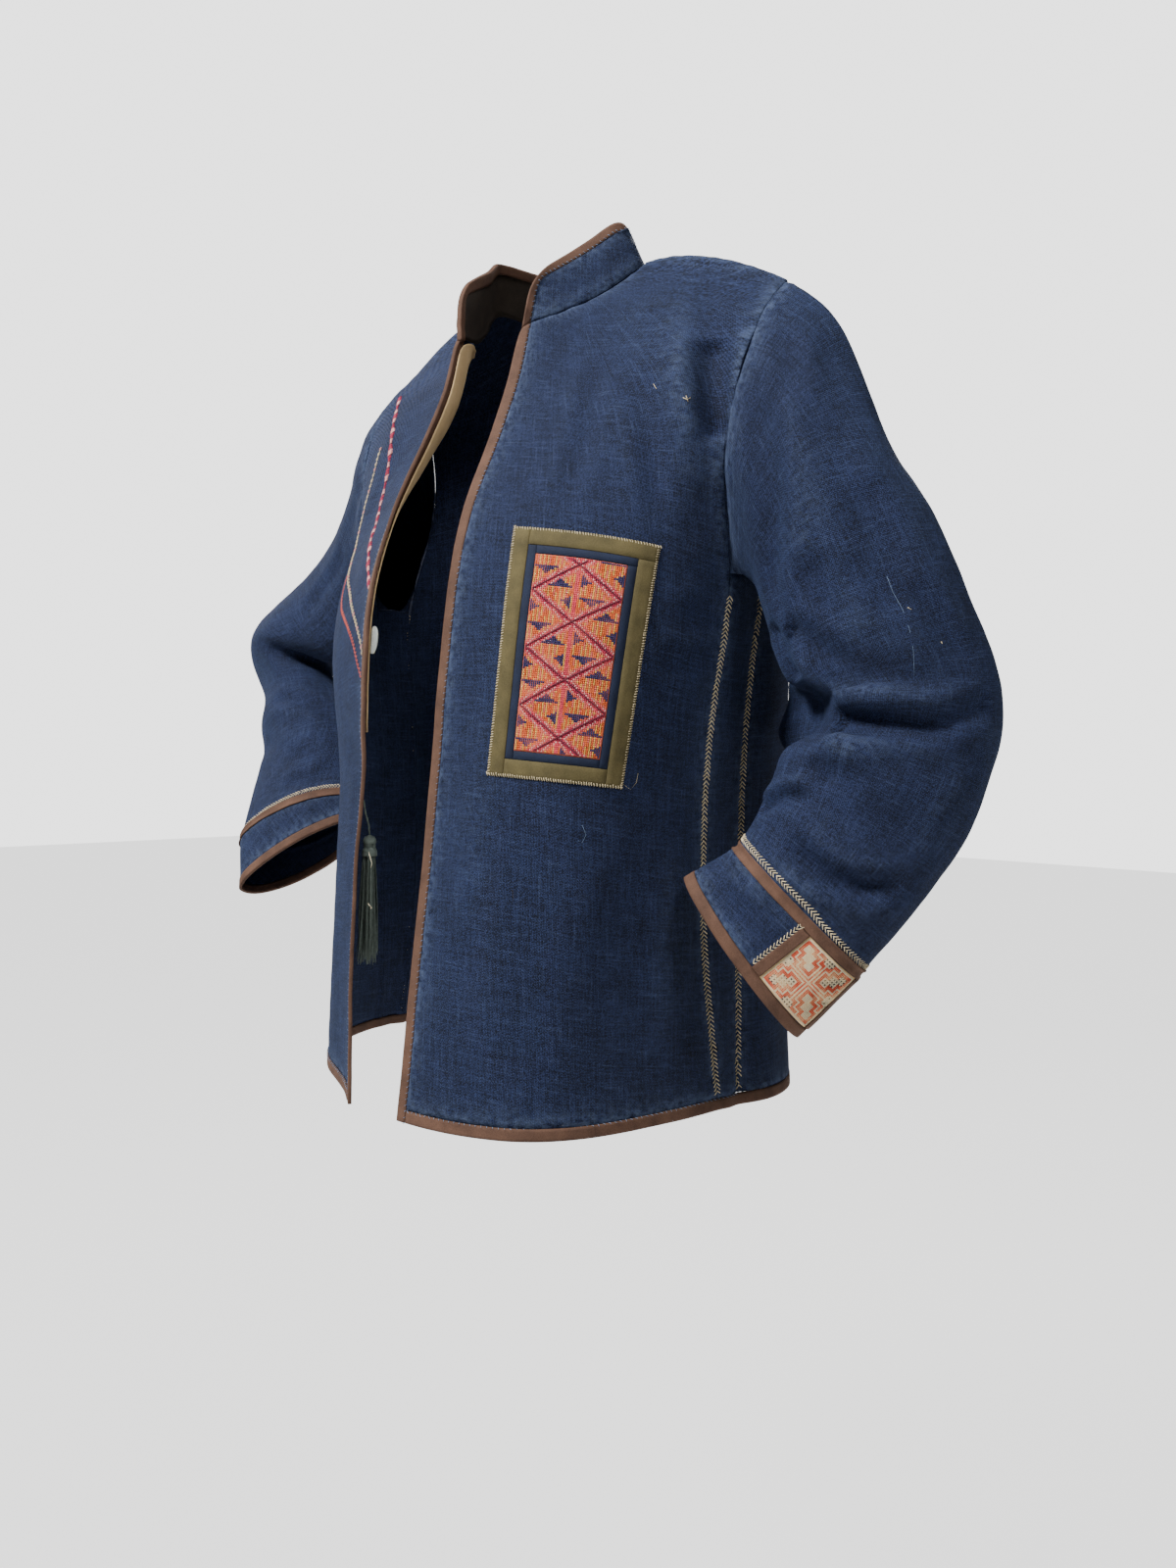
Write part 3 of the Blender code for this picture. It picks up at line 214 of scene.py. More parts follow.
def feed(start, shader, colour=None, roughness=None, height=None, strength=0.5, deep=0.0003):
    """Plugs what changes over the surface into the shader."""
    if colour is not None:
        start.tree.links.new(colour.socket, shader.inputs["Base Color"])
    if roughness is not None:
        start.tree.links.new(roughness.socket, shader.inputs["Roughness"])
    if height is not None:
        bump = start.make("ShaderNodeBump", {}, {"Strength": strength, "Distance": deep,
                                                 "Height": height})
        start.tree.links.new(bump.socket, shader.inputs["Normal"])


print("a mid grey dye:", [round(value, 3) for value in dye(128, 128, 128)[:3]])


# %% [markdown]
# ## Indigo hemp
#
# Hand-spun hemp is a coarse plain weave: about ten threads to the centimetre, no two alike.
# Thick places in a thread, called slubs, take less dye and show as short pale dashes both ways.
# A picture could be tiled over it, but two stretched noises give dashes that never repeat.
# The dye has rubbed off a little on the crests of the threads and along the seams.

# %% Weave the hemp
THREAD = 0.95 * MM


def weave(start, pitch, uneven):
    """Height of a plain weave, 0 to 1, and how thick the thread on top is."""
    cloth = start.make("ShaderNodeUVMap", {"uv_map": "cloth"})
    across = start.make("ShaderNodeSeparateXYZ", {}, {0: cloth})
    along = across.beside("Y")
    over = start.make("ShaderNodeTexChecker", {}, {
        "Vector": cloth.stretched(1 / pitch, 1 / pitch), "Scale": 1.0,
        "Color1": (1, 1, 1, 1), "Color2": (0, 0, 0, 1)}, out=1)
    warp_yarn = cloth.noise(0.9 / pitch, 45)
    weft_yarn = cloth.noise(60, 0.9 / pitch)
    warp = abs((across * (math.pi / pitch)).sine())
    weft = abs((along * (math.pi / pitch)).sine())
    thick = over * warp_yarn + (1 - over) * weft_yarn
    height = (over * warp + (1 - over) * weft) * (1 - uneven + thick * (2 * uneven))
    return cloth, height, thick, warp_yarn, weft_yarn


def hemp_finish(name, deep_dye, dye_body, worn_dye, slub_dye):
    finish, start, shader = new_finish(
        name, Sheen_Weight=0.12, Sheen_Roughness=0.4, Sheen_Tint=dye(120, 150, 205),
        Specular_IOR_Level=0.2)
    cloth, height, thick, warp_yarn, weft_yarn = weave(start, THREAD, 0.45)
    slubs = ((weft_yarn - 0.60) * 5).clamped() + ((warp_yarn - 0.62) * 5).clamped()
    streaks = cloth.noise(900, 90, detail=3) * 0.5 + cloth.noise(96, 860, detail=3) * 0.5
    cloud = cloth.noise(52, 47, detail=4)
    worn = start.make("ShaderNodeAttribute", {"attribute_name": "worn"}, out=2)
    fibres = cloth.noise(1500, 1500, detail=3)
    # Each of these makes the dye lighter or darker by its own share.
    shade = (height * 0.8 + (streaks - 0.5) * 0.3 + (thick - 0.5) * 0.8
             + (fibres - 0.5) * 2.4 + (cloud - 0.5) * 0.45 + 0.05)
    colour = shade.ramp((0.0, deep_dye), (0.45, dye_body), (1.0, worn_dye))
    flecks = (slubs * (streaks * 1.6 - 0.35)).clamped()
    colour = (flecks * 0.2).tinted(colour, slub_dye)
    fluff = ((cloth.noise(2300, 2300, detail=1) - 0.70) * 9).clamped()
    colour = (fluff * 0.55).tinted(colour, slub_dye)
    rubbed = (worn * (cloth.noise(260, 260, detail=4) * 3.2 - 1.1)).clamped()
    colour = (rubbed * 0.45).tinted(colour, slub_dye)
    feed(start, shader, colour, 0.93 - height * 0.12, height + slubs * 0.35, 0.55, 0.00045)
    return finish


hemp = hemp_finish("indigo_hemp", dye(6, 8, 19), dye(17, 23, 43), dye(40, 52, 88),
                   dye(104, 120, 152))
print("hemp threads to the centimetre:", round(0.01 / THREAD, 1))

# %% [markdown]
# ## Plain cottons and tape
#
# The tapes, the patch frames and the facings are thin, even cottons. They share a recipe:
# fine diagonal twill lines in space and soft mottling.
# A twill drawn in space needs no flattening, which suits narrow strips that bend.

# %% Dye the cottons
def cotton_finish(name, dark, light, pitch=0.75 * MM, sheen=0.3, mottle=0.7):
    finish, start, shader = new_finish(
        name, Sheen_Weight=sheen, Sheen_Roughness=0.4, Sheen_Tint=light, Specular_IOR_Level=0.3)
    place = start.make("ShaderNodeTexCoord", out="Object")
    axes = start.make("ShaderNodeSeparateXYZ", {}, {0: place})
    slant = axes * 0.8 + axes.beside("Y") * 0.8 + axes.beside("Z")
    twill = (slant * (2 * math.pi / pitch)).sine() * 0.5 + 0.5
    grain = place.noise(1300, 1300, 1300, detail=2)
    cloud = place.noise(70, 70, 70, detail=3)
    shade = twill * 0.22 + grain * 0.45 + (cloud - 0.5) * mottle + 0.16
    feed(start, shader, shade.ramp((0.1, dark), (0.9, light)), 0.92 - grain * 0.2,
         twill * 0.5 + grain, 0.4, 0.0002)
    return finish


brown = cotton_finish("brown_tape", dye(48, 32, 26), dye(112, 82, 66), sheen=0.2)
# The collar's facing is the binding's brown cotton. This darker copy of it is painted shade for the
# inside of the collar.
brown_painted_shade = cotton_finish("dark_brown_cotton", dye(26, 22, 19), dye(62, 52, 44), sheen=0.1)
olive = cotton_finish("olive_cotton", dye(56, 50, 28), dye(104, 94, 60), mottle=0.9, sheen=0.15)
navy = cotton_finish("navy_cotton", dye(10, 15, 32), dye(28, 40, 68), sheen=0.15)
window_ground = cotton_finish("embroidered_cotton", dye(140, 62, 50), dye(206, 108, 84))
cream_cotton = cotton_finish("cream_cotton", dye(196, 160, 112), dye(236, 208, 160))
print("cottons:", ", ".join(finish.name for finish in (brown, brown_painted_shade, olive, navy,
                                                       window_ground, cream_cotton)))

# %% [markdown]
# ## Threads
#
# A sewing or embroidery thread is two or three plies twisted together. On a stitch a few
# millimetres long the twist shows as fine slanted ridges, and the dye is never quite even.
# The plies could be modelled, but thousands of stitches would grow too heavy, so the ridges are
# a sine wave that slants through space.

# %% Dye the threads
PLY_TWIST = 0.55 * MM


def thread_finish(name, colour, shine=0.45, uneven=0.35):
    finish, start, shader = new_finish(
        name, Sheen_Weight=0.3, Sheen_Roughness=0.35, Sheen_Tint=colour,
        Specular_IOR_Level=shine)
    place = start.make("ShaderNodeTexCoord", out="Object")
    axes = start.make("ShaderNodeSeparateXYZ", {}, {0: place})
    slant = axes + axes.beside("Y") - axes.beside("Z") * 0.9
    twist = (slant * (2 * math.pi / PLY_TWIST)).sine() * 0.5 + 0.5
    patchy = place.noise(420, 420, 420, detail=3)
    dark = tuple(x * (1 - uneven) ** 1.6 for x in colour[:3]) + (1.0,)
    light = tuple(min(1.0, x * (1 + uneven * 0.8)) for x in colour[:3]) + (1.0,)
    shade = twist * 0.35 + (patchy - 0.5) * 1.1 + 0.32
    feed(start, shader, shade.ramp((0.05, dark), (0.95, light)), 0.8 - twist * 0.15,
         twist, 0.5, 0.00015)
    return finish


THREAD_DYES = {
    "cream": (222, 206, 170), "pale_blue": (122, 144, 176), "orange": (238, 104, 46),
    "yellow": (240, 176, 84), "salmon": (238, 112, 98), "pink": (226, 70, 92),
    "light_pink": (244, 166, 162), "deep_pink": (176, 36, 74), "burgundy": (104, 34, 54),
    "navy": (44, 40, 92), "coral": (222, 82, 56), "bone": (248, 224, 192), "ink": (48, 44, 52),
}
THREADS = {word: thread_finish(word + "_thread", dye(*shade))
           for word, shade in THREAD_DYES.items()}
print("threads:", ", ".join(THREADS))

# %% [markdown]
# ## From a faceted solid to cloth
#
# The solids are walls of flat facets. Pairing their triangles into quads and subdividing them
# gives smooth cloth, as long as the rims stay crisp: without that, neighbouring pieces would
# draw back from their seams. So every edge between a sheet and its rim is creased first.
# The rims are easy to find, because only they have edges as short as the wall is thick.

# %% Open and subdivide the solids
FINE, MEDIUM = ((3, 2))
WALL_EDGE, SAME_CORNER = 2.0 * MM, 0.01 * MM
SHARP = math.radians(50)
print("rounds of subdivision:", FINE, "for hemp and", MEDIUM, "for trims")


def opened(node, wall):
    """The solid's mesh with joined corners and paired triangles; its sharp edges are marked."""
    shape = bmesh.new()
    shape.from_mesh(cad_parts[node].data)
    bmesh.ops.remove_doubles(shape, verts=shape.verts, dist=SAME_CORNER)
    rim = {face for face in shape.faces
           if wall and min(edge.calc_length() for edge in face.edges) < WALL_EDGE}
    for edge in shape.edges:
        a, b = edge.link_faces
        if wall:
            sharp = (a in rim) != (b in rim) or (a in rim and edge.calc_face_angle() > SHARP)
        else:
            sharp = edge.calc_face_angle() > SHARP
        edge.smooth = not sharp
    bmesh.ops.join_triangles(shape, faces=shape.faces, cmp_sharp=True,
                             angle_face_threshold=math.pi, angle_shape_threshold=math.pi)
    return shape


# %% Tell the sheets from the rims
OUTSIDE, INSIDE, RIM = 0, 1, 2
print("faces are marked", OUTSIDE, "outside,", INSIDE, "inside and", RIM, "on a rim")


def mark_sheets(shape, middle):
    """Marks each face as outside, inside or rim, and returns how many groups there are."""
    seen, groups = set(), []
    for first in shape.faces:
        if first in seen:
            continue
        group, queue = [], [first]
        seen.add(first)
        while queue:
            face = queue.pop()
            group.append(face)
            for edge in face.edges:
                for other in edge.link_faces:
                    if edge.smooth and other not in seen:
                        seen.add(other)
                        queue.append(other)
        groups.append((sum(face.calc_area() for face in group), group))
    groups.sort(key=lambda pair: -pair[0])
    for k, (_, group) in enumerate(groups):
        out = sum(face.calc_area() * face.normal.dot(
            face.calc_center_median() - middle(face.calc_center_median())) for face in group)
        for face in group:
            face.material_index = RIM if k > 1 else OUTSIDE if out > 0 else INSIDE
    return len(groups)


# %% Make smooth cloth of a shape
FULL_CREASE = 1.0
print("a rim's crease:", FULL_CREASE)


def subdivided(shape, name, level, corner=FULL_CREASE):
    """An object with the subdivided mesh of a shape."""
    crease = shape.edges.layers.float.new("crease_edge")
    for edge in shape.edges:
        edge[crease] = 0.0 if edge.smooth else corner
        edge.smooth = True
    mesh = bpy.data.meshes.new(name)
    shape.to_mesh(mesh)
    shape.free()
    rough = in_scene(name, mesh)
    rounds = rough.modifiers.new("rounds", "SUBSURF")
    rounds.levels = rounds.render_levels = level
    bpy.context.view_layer.update()
    fine = bpy.data.meshes.new_from_object(
        rough.evaluated_get(bpy.context.evaluated_depsgraph_get()))
    rough.modifiers.clear()
    rough.data = fine
    fine.name = name
    return rough


def places_of(piece):
    """Every corner of a piece's mesh, as an array."""
    flat = np.empty(len(piece.data.vertices) * 3, np.float32)
    piece.data.vertices.foreach_get("co", flat)
    return flat.reshape(-1, 3).astype(float)


def put_places(piece, places):
    piece.data.vertices.foreach_set("co", places.astype(np.float32).ravel())
    piece.data.update()


def wear(piece, *finishes):
    """Gives a piece its materials, smooth shading and its body."""
    piece.data.materials.clear()
    for finish in finishes:
        piece.data.materials.append(finish)
    piece.data.polygons.foreach_set("use_smooth", [True] * len(piece.data.polygons))
    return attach(piece, "root")


# %% [markdown]
# ## Which way the threads run
#
# A weave needs to know where it is on the flat cloth. It could be unwrapped, but an unwrapped
# piece lies at any slant. For the body it is simple to work out: across is the way round the
# wearer, and along is the distance from the shoulder line. The collar turns about the neck, and
# the short cuffs are taken as flat. A sleeve bends, so its rings of corners are counted up from
# the cuff, and each has a middle to turn about.

# %% Lay out the weave
BODY_RADIUS, NECK_RADIUS, NECK_FORWARD = 0.165, 0.068, 0.03
LAYOUTS = {
    # Each gives the flat cloth's two lengths from a corner's place.
    "before": lambda x, y, z: (BODY_RADIUS * math.atan2(x, -y), -math.hypot(y, z)),
    "behind": lambda x, y, z: (BODY_RADIUS * math.atan2(x, y), math.hypot(y, z)),
    "neck": lambda x, y, z: (NECK_RADIUS * math.atan2(x, -y + NECK_FORWARD), z),
    "flat": lambda x, y, z: (x * 0.8 - z * 0.6 + y * 0.5, x * 0.6 + z * 0.8 + y * 0.5),
}

print("ways to lay out the weave: tube,", ", ".join(LAYOUTS))


# %% Unroll a tube
def beyond(ring, seen):
    """The corners one edge further on than a ring, in the mesh's own order."""
    return sorted({edge.other_vert(corner) for corner in ring for edge in corner.link_edges}
                  - seen, key=lambda corner: corner.index)


def rings_of(shape):
    """The rings of a tube's corners, counted from its lower end."""
    shape.verts.index_update()
    rim = [corner for corner in shape.verts if any(not edge.smooth for edge in corner.link_edges)]
    low = min(corner.co.z for corner in rim)
    high = max(corner.co.z for corner in rim)
    rings, seen = [], set()
    now = [corner for corner in rim if corner.co.z < (low + high) / 2]
    while now:
        rings.append(now)
        seen.update(now)
        now = beyond(now, seen)
    return rings


def tube_layout(shape):
    """The cloth's own places for a tube, and how far round it is."""
    rings = rings_of(shape)
    middles = [sum((corner.co for corner in ring), Vector()) / len(ring) for ring in rings]
    girth = 2 * math.pi * sum((corner.co - middle).length for ring, middle in zip(rings, middles)
                              for corner in ring) / sum(map(len, rings))
    places, along, side = {}, 0.0, Vector((0.3, 1, 0))
    for k, (ring, middle) in enumerate(zip(rings, middles)):
        ahead = (middles[min(k + 1, len(rings) - 1)] - middles[max(k - 1, 0)]).normalized()
        side = (side - ahead * side.dot(ahead)).normalized()
        other = ahead.cross(side)
        if k:
            along += (middle - middles[k - 1]).length
        for corner in ring:
            arm = corner.co - middle
            places[corner] = (math.atan2(arm.dot(other), arm.dot(side)) / (2 * math.pi) * girth,
                              along)
    return places, girth


def lay_out(shape, layout):
    """Writes the flat places into the map that the weave reads."""
    if layout == "tube":
        places, girth = tube_layout(shape)
    else:
        places, girth = {corner: LAYOUTS[layout](*corner.co) for corner in shape.verts}, 0.0
    flat = shape.loops.layers.uv.new("cloth")
    for face in shape.faces:
        first = places[face.loops[0].vert][0]
        for loop in face.loops:
            u, v = places[loop.vert]
            if girth:
                u += girth * round((first - u) / girth)
            loop[flat].uv = (u, v)


print("pieces to unroll:", sum(name.startswith("sleeve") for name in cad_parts))


# %% [markdown]
# ## Creases
#
# The solids carry the deep folds at the elbows. Between them, real cloth has many small soft
# troughs that start at a seam or the inside of a bend and fade out. The cloth could be draped,
# but a worn jacket keeps its creases where it was worn, so each one here is a short line of
# places with a width and a depth. Those on the near side are aimed through the camera, and
# those on the back are dropped straight onto it. No two are alike in length or depth.

# %% Press the creases
def tree_of(piece):
    data = piece.data
    return BVHTree.FromPolygons([v.co[:] for v in data.vertices],
                                [p.vertices[:] for p in data.polygons])


solid_trees = {name: tree_of(solid) for name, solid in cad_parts.items()}
print("solids to aim at:", len(solid_trees))


def seen_on(node, line):
    """The places of a solid that the camera sees at a line of picture places."""
    hits = [solid_trees[node].ray_cast(EYE, sight(*spot))[0] for spot in line]
    return [hit for hit in hits if hit is not None]


def dropped_on(node, line):
    """The places of a solid met by rays from behind, at (x, z) pairs in millimetres."""
    hits = [solid_trees[node].ray_cast(Vector((x / 1000, 1, z / 1000)), Vector((0, -1, 0)))[0]
            for x, z in line]
    return [hit for hit in hits if hit is not None]


def near_line(places, line):
    """How far each place is from a line, and where along it, from 0 to 1."""
    line = np.array([tuple(spot) for spot in line])
    lengths = np.linalg.norm(np.diff(line, axis=0), axis=1)
    total, run = lengths.sum(), 0.0
    best = np.full(len(places), 1e9)
    where = np.zeros(len(places))
    for a, b, long in zip(line[:-1], line[1:], lengths):
        share = np.clip((places - a) @ (b - a) / max(long * long, 1e-12), 0, 1)
        away = np.linalg.norm(places - (a + share[:, None] * (b - a)), axis=1)
        closer = away < best
        best[closer] = away[closer]
        where[closer] = (run + share[closer] * long) / total
        run += long
    return best, where


CREASE_SHARE = 1.7  # every depth in the tables below is made this many times deeper


def pressed(places, line, wide, deep, start_soft=0.25, end_soft=0.35):
    """How far a crease pushes each place out, or in where deep is negative, in metres.

    The crease fades in over the first share of its line, and out over the last.
    """
    if len(line) < 2:
        return np.zeros(len(places))
    away, where = near_line(places, line)
    t = away / (wide * MM)
    profile = CREASE_SHARE * (np.exp(-t * t) - 0.32 * np.exp(-((t - 1.7) / 0.8) ** 2))
    fade = np.clip(where / start_soft, 0, 1) * np.clip((1 - where) / end_soft, 0, 1)
    fade = np.sin(fade * math.pi / 2) ** 1.3
    return deep * MM * profile * fade


# %% List the creases on the near side
# Lines of picture places, then the width and depth of the crease in millimetres, before
# CREASE_SHARE, and where they aren't the usual ones, the shares of the line over which it fades
# in and out. All were placed and deepened one by one.
CREASES = {
    "front_left": [
        ([(724, 344), (727, 392), (735, 450), (742, 500), (747, 560), (752, 620)], 12, -4.4,
         0.15, 0.12),
        ([(690, 290), (700, 350), (704, 410), (706, 480), (712, 560)], 13, 2.0),
        ([(650, 380), (660, 430), (668, 480), (672, 540)], 9, -1.5),
        ([(610, 360), (600, 430), (585, 490), (578, 520)], 9, -1.4),
        ([(640, 300), (668, 345), (690, 400), (700, 450)], 16, 0.9),
        ([(560, 330), (600, 372), (650, 400)], 14, -0.8),
        ([(760, 650), (735, 668), (700, 676), (668, 672)], 8, -1.5),
        ([(757, 700), (730, 712), (696, 714)], 8, -1.2),
        ([(752, 610), (726, 625), (694, 628)], 9, -1.1),
        ([(500, 700), (490, 790), (480, 880), (474, 960)], 20, 1.1),
        ([(560, 850), (548, 930), (540, 1030), (534, 1120)], 18, -1.3),
        ([(700, 850), (690, 930), (684, 1010), (680, 1090)], 16, 1.2),
        ([(640, 840), (632, 900), (622, 980), (618, 1080)], 22, -1.0),
    ],
    "front_right": [
        ([(375, 690), (366, 780), (360, 870), (356, 980)], 14, -1.0),
        ([(400, 470), (380, 520), (362, 580), (352, 640)], 12, -0.8),
    ],
    "sleeve_left": [
        ([(800, 335), (806, 372), (805, 415)], 9, -1.8),
        ([(835, 330), (850, 380), (856, 440), (852, 500)], 15, -1.3),
        ([(772, 380), (780, 455), (786, 510), (788, 570), (786, 620)], 11, -3.0),
        ([(826, 440), (830, 500), (828, 560), (822, 610)], 14, 1.2),
        ([(880, 480), (896, 540), (912, 600), (925, 650)], 13, -1.2),
        ([(768, 622), (800, 640), (836, 668), (880, 682)], 10, -3.4, 0.05),
        ([(815, 693), (850, 702), (885, 706), (930, 700)], 9, 1.8),
        ([(930, 590), (955, 630), (975, 662), (998, 680)], 10, -1.6),
        ([(832, 722), (852, 736), (886, 737), (930, 738), (985, 748)], 9, -5.2, 0.04),
        ([(784, 636), (798, 666), (814, 695), (832, 722)], 9, -3.2, 0.2, 0.1),
        ([(818, 560), (826, 600), (836, 640), (850, 684)], 14, -1.8),
        ([(1014, 716), (985, 728), (950, 734)], 8, -2.4),
        ([(842, 756), (872, 762), (912, 768)], 11, 2.6),
        ([(800, 752), (826, 772), (850, 800)], 9, -2.2),
        ([(774, 826), (792, 814), (812, 812), (830, 822)], 6, -3.2, 0.05),
        ([(812, 790), (850, 802), (890, 826), (925, 858)], 11, -1.3),
        ([(806, 850), (822, 878), (848, 898), (884, 908), (926, 904)], 8, -4.4),
        ([(800, 878), (822, 902), (852, 922)], 9, 1.6),
        ([(985, 790), (960, 830), (940, 872), (925, 905)], 12, 1.1),
        ([(780, 560), (788, 600), (800, 640), (806, 676)], 8, -1.5),
        ([(862, 560), (880, 590), (905, 612), (935, 622)], 9, -1.1),
    ],
    "cuff_left": [
        ([(720, 905), (745, 925), (778, 948)], 9, -0.9),
        ([(745, 885), (765, 905), (795, 925)], 8, 0.8),
    ],
    "sleeve_right": [
        ([(388, 440), (368, 500), (345, 560)], 10, -1.4),
        ([(352, 560), (330, 600), (306, 632)], 9, -1.4),
        ([(262, 650), (285, 664), (312, 672), (338, 690)], 7, -2.0),
        ([(275, 715), (300, 712), (325, 720), (345, 736)], 7, -1.6),
        ([(272, 760), (300, 770), (330, 772)], 9, -1.2),
        ([(262, 790), (290, 800), (322, 792), (345, 780)], 8, -1.2),
    ],
}
print("creases on the near side:", sum(map(len, CREASES.values())))

# %% List the creases behind
# The same kind of creases out of sight: (x, z) in millimetres, met from behind.
CREASES_BEHIND = {
    "back": [
        ([(-150, -120), (-120, -180), (-80, -230), (-30, -260)], 14, -2.2),
        ([(150, -120), (124, -175), (90, -235), (46, -280)], 12, -2.0),
        ([(-170, -230), (-130, -250), (-90, -256)], 9, -1.8),
        ([(168, -220), (132, -246), (88, -250), (50, -244)], 10, -1.8),
        ([(-60, -40), (-70, -100), (-90, -160)], 16, 1.2),
        ([(70, -50), (78, -110), (84, -170)], 16, 1.1),
        ([(-100, -330), (-96, -420), (-104, -520), (-100, -590)], 18, -1.8),
        ([(20, -350), (26, -440), (18, -530), (24, -600)], 20, 1.6),
        ([(110, -340), (116, -430), (110, -540)], 17, -1.6),
        ([(-30, -420), (-36, -500), (-30, -590)], 15, -1.2),
    ],
    "sleeve_left": [
        ([(170, -90), (200, -150), (232, -210)], 12, -1.8),
        ([(212, -80), (240, -140), (268, -200)], 14, 1.2),
        ([(200, -280), (236, -290), (280, -290), (320, -300)], 8, -2.2),
        ([(220, -330), (262, -326), (306, -330)], 8, -1.8),
        ([(232, -380), (266, -370), (300, -376)], 9, -1.6),
        ([(220, -440), (250, -420), (282, -424)], 9, -1.3),
    ],
    "sleeve_right": [
        ([(-180, -90), (-214, -150), (-250, -204)], 12, -1.8),
        ([(-230, -90), (-262, -140), (-296, -190)], 14, 1.2),
        ([(-400, -330), (-360, -306), (-316, -292), (-280, -290)], 8, -2.2),
        ([(-398, -370), (-362, -350), (-322, -340)], 8, -1.9),
        ([(-380, -410), (-350, -396), (-318, -384)], 9, -1.5),
        ([(-300, -220), (-262, -240), (-230, -262)], 10, -1.5),
    ],
}


def crease_lines(node):
    """Every crease of a solid: the places that its line meets, its width, its depth."""
    near = [(seen_on(node, line), *size) for line, *size in CREASES.get(node, [])]
    far = [(dropped_on(node, line), *size) for line, *size in CREASES_BEHIND.get(node, [])]
    return near + far


print("creases behind:", sum(map(len, CREASES_BEHIND.values())))

# %% [markdown]
# ## The panels and sleeves
#
# Ten cut pieces of hemp make the jacket: the back, two fronts, two side panels, two sleeves,
# two cuffs and the stand collar, whose lining is the binding's brown cotton, darkened as
# painted shade. Each is subdivided, gets its creases, a slight unevenness, and a shallow ditch
# with puckers wherever it is sewn to another.
# A sculpted mesh could hold the same, but moves that are worked out can be changed and added.
# What is worked out is how far the outer sheet moves; the inner sheet follows it, so the wall
# keeps its thickness, and later the trims follow it too.

# %% Cut the hemp
HEMP_PIECES = {
    # solid: layout of the weave
    "back": "behind", "front_left": "before", "front_right": "before",
    "side_panel_left": "before", "side_panel_right": "before", "sleeve_left": "tube",
    "sleeve_right": "tube", "cuff_left": "flat", "cuff_right": "flat", "collar": "neck",
}


def heart_of(node):
    """What a piece's outer sheet faces away from: a tube's middle, or the wearer's axis."""
    low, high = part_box(node)
    tube = node.startswith(("sleeve", "cuff"))
    return lambda place: (low + high) / 2 if tube else Vector((0, 0.005, place.z))


class Panel:
    """One piece of hemp: its smooth places, which of them are outside, and which are edges."""

    def __init__(self, node, layout):
        shape = opened(node, wall=not node.startswith("cuff"))
        self.groups = mark_sheets(shape, heart_of(node))
        lay_out(shape, layout)
        self.piece = subdivided(shape, "hemp_" + node, FINE)
        data = self.piece.data
        self.smooth = places_of(self.piece)
        kinds = np.empty(len(data.polygons), int)
        data.polygons.foreach_get("material_index", kinds)
        facing = np.empty(len(data.polygons) * 3, np.float32)
        data.polygons.foreach_get("normal", facing)
        corners = np.empty(len(data.loops), int)
        data.loops.foreach_get("vertex_index", corners)
        sizes = np.empty(len(data.polygons), int)
        data.polygons.foreach_get("loop_total", sizes)
        owner = np.repeat(np.arange(len(sizes)), sizes)
        outer = kinds[owner] == OUTSIDE
        normal = np.zeros_like(self.smooth)
        np.add.at(normal, corners[outer], facing.reshape(-1, 3)[owner[outer]])
        self.out = np.unique(corners[outer])
        rim = np.unique(corners[kinds[owner] == RIM])
        self.edge = np.intersect1d(self.out, rim)
        self.normal = normal / np.maximum(np.linalg.norm(normal, axis=1), 1e-9)[:, None]
        self.push = np.zeros_like(self.smooth)


def nearest(places, targets):
    """For each place, the number of the nearest target and the distance to it."""
    tree = KDTree(len(targets))
    for k, target in enumerate(targets):
        tree.insert(target, k)
    tree.balance()
    found = [tree.find(place)[1:] for place in places]
    return np.array([k for k, _ in found]), np.array([away for _, away in found])


panels = {node: Panel(node, layout) for node, layout in HEMP_PIECES.items()}
for name, panel in panels.items():
    print(name, len(panel.smooth), "corners,", panel.groups, "sheets and rims,",
          len(panel.out), "outside")

# %% Plan the moves
SEAM_REACH, PUCKER_REACH = 6 * MM, 30 * MM
lines = {name: crease_lines(name) for name in panels}
NEIGHBOURS = {
    "front_left": ("side_panel_left", "back"), "side_panel_left": ("front_left", "back"),
    "front_right": ("side_panel_right", "back"), "side_panel_right": ("front_right", "back"),
    "back": ("side_panel_left", "side_panel_right"),
    "sleeve_left": ("cuff_left",), "cuff_left": ("sleeve_left",),
    "sleeve_right": ("cuff_right",), "cuff_right": ("sleeve_right",), "collar": (),
}
# The bunch of cloth inside a sharply bent elbow: its middle, and how far it is pushed.
ELBOW_FOLDS = {"sleeve_left": ((0.250, 0.060, -0.348), (-0.064, 0.006, 0.0))}
FOLD_IN, FOLD_REAR, FOLD_HIGH = 0.045, 0.040, 0.040


def eased(share):
    """0 to 1 with soft ends."""
    share = np.clip(share, 0, 1)
    return 3 * share ** 2 - 2 * share ** 3


def folded(places, middle, push):
    """The push of one soft fold round a place, along the sleeve's inner and rear side."""
    inner = eased((middle[0] + FOLD_IN - places[:, 0]) / FOLD_IN)
    rear = eased((places[:, 1] - middle[1] + 0.055) / FOLD_REAR)
    high = np.exp(-((places[:, 2] - middle[2]) / FOLD_HIGH) ** 2)
    return (inner * rear * high)[:, None] * np.array(push)


def uneven(place, seam):
    """Slow and quick unevenness of worn cloth, and puckers beside a seam."""
    spot = Vector(place)
    wave = 0.9 * noise.noise(spot * 21) + 0.35 * noise.noise(spot * 62)
    if seam < PUCKER_REACH:
        wave += 0.75 * noise.noise(spot * 120) * math.exp(-seam / 0.009)
    return wave * MM


print("pieces with an elbow fold:", ", ".join(ELBOW_FOLDS))

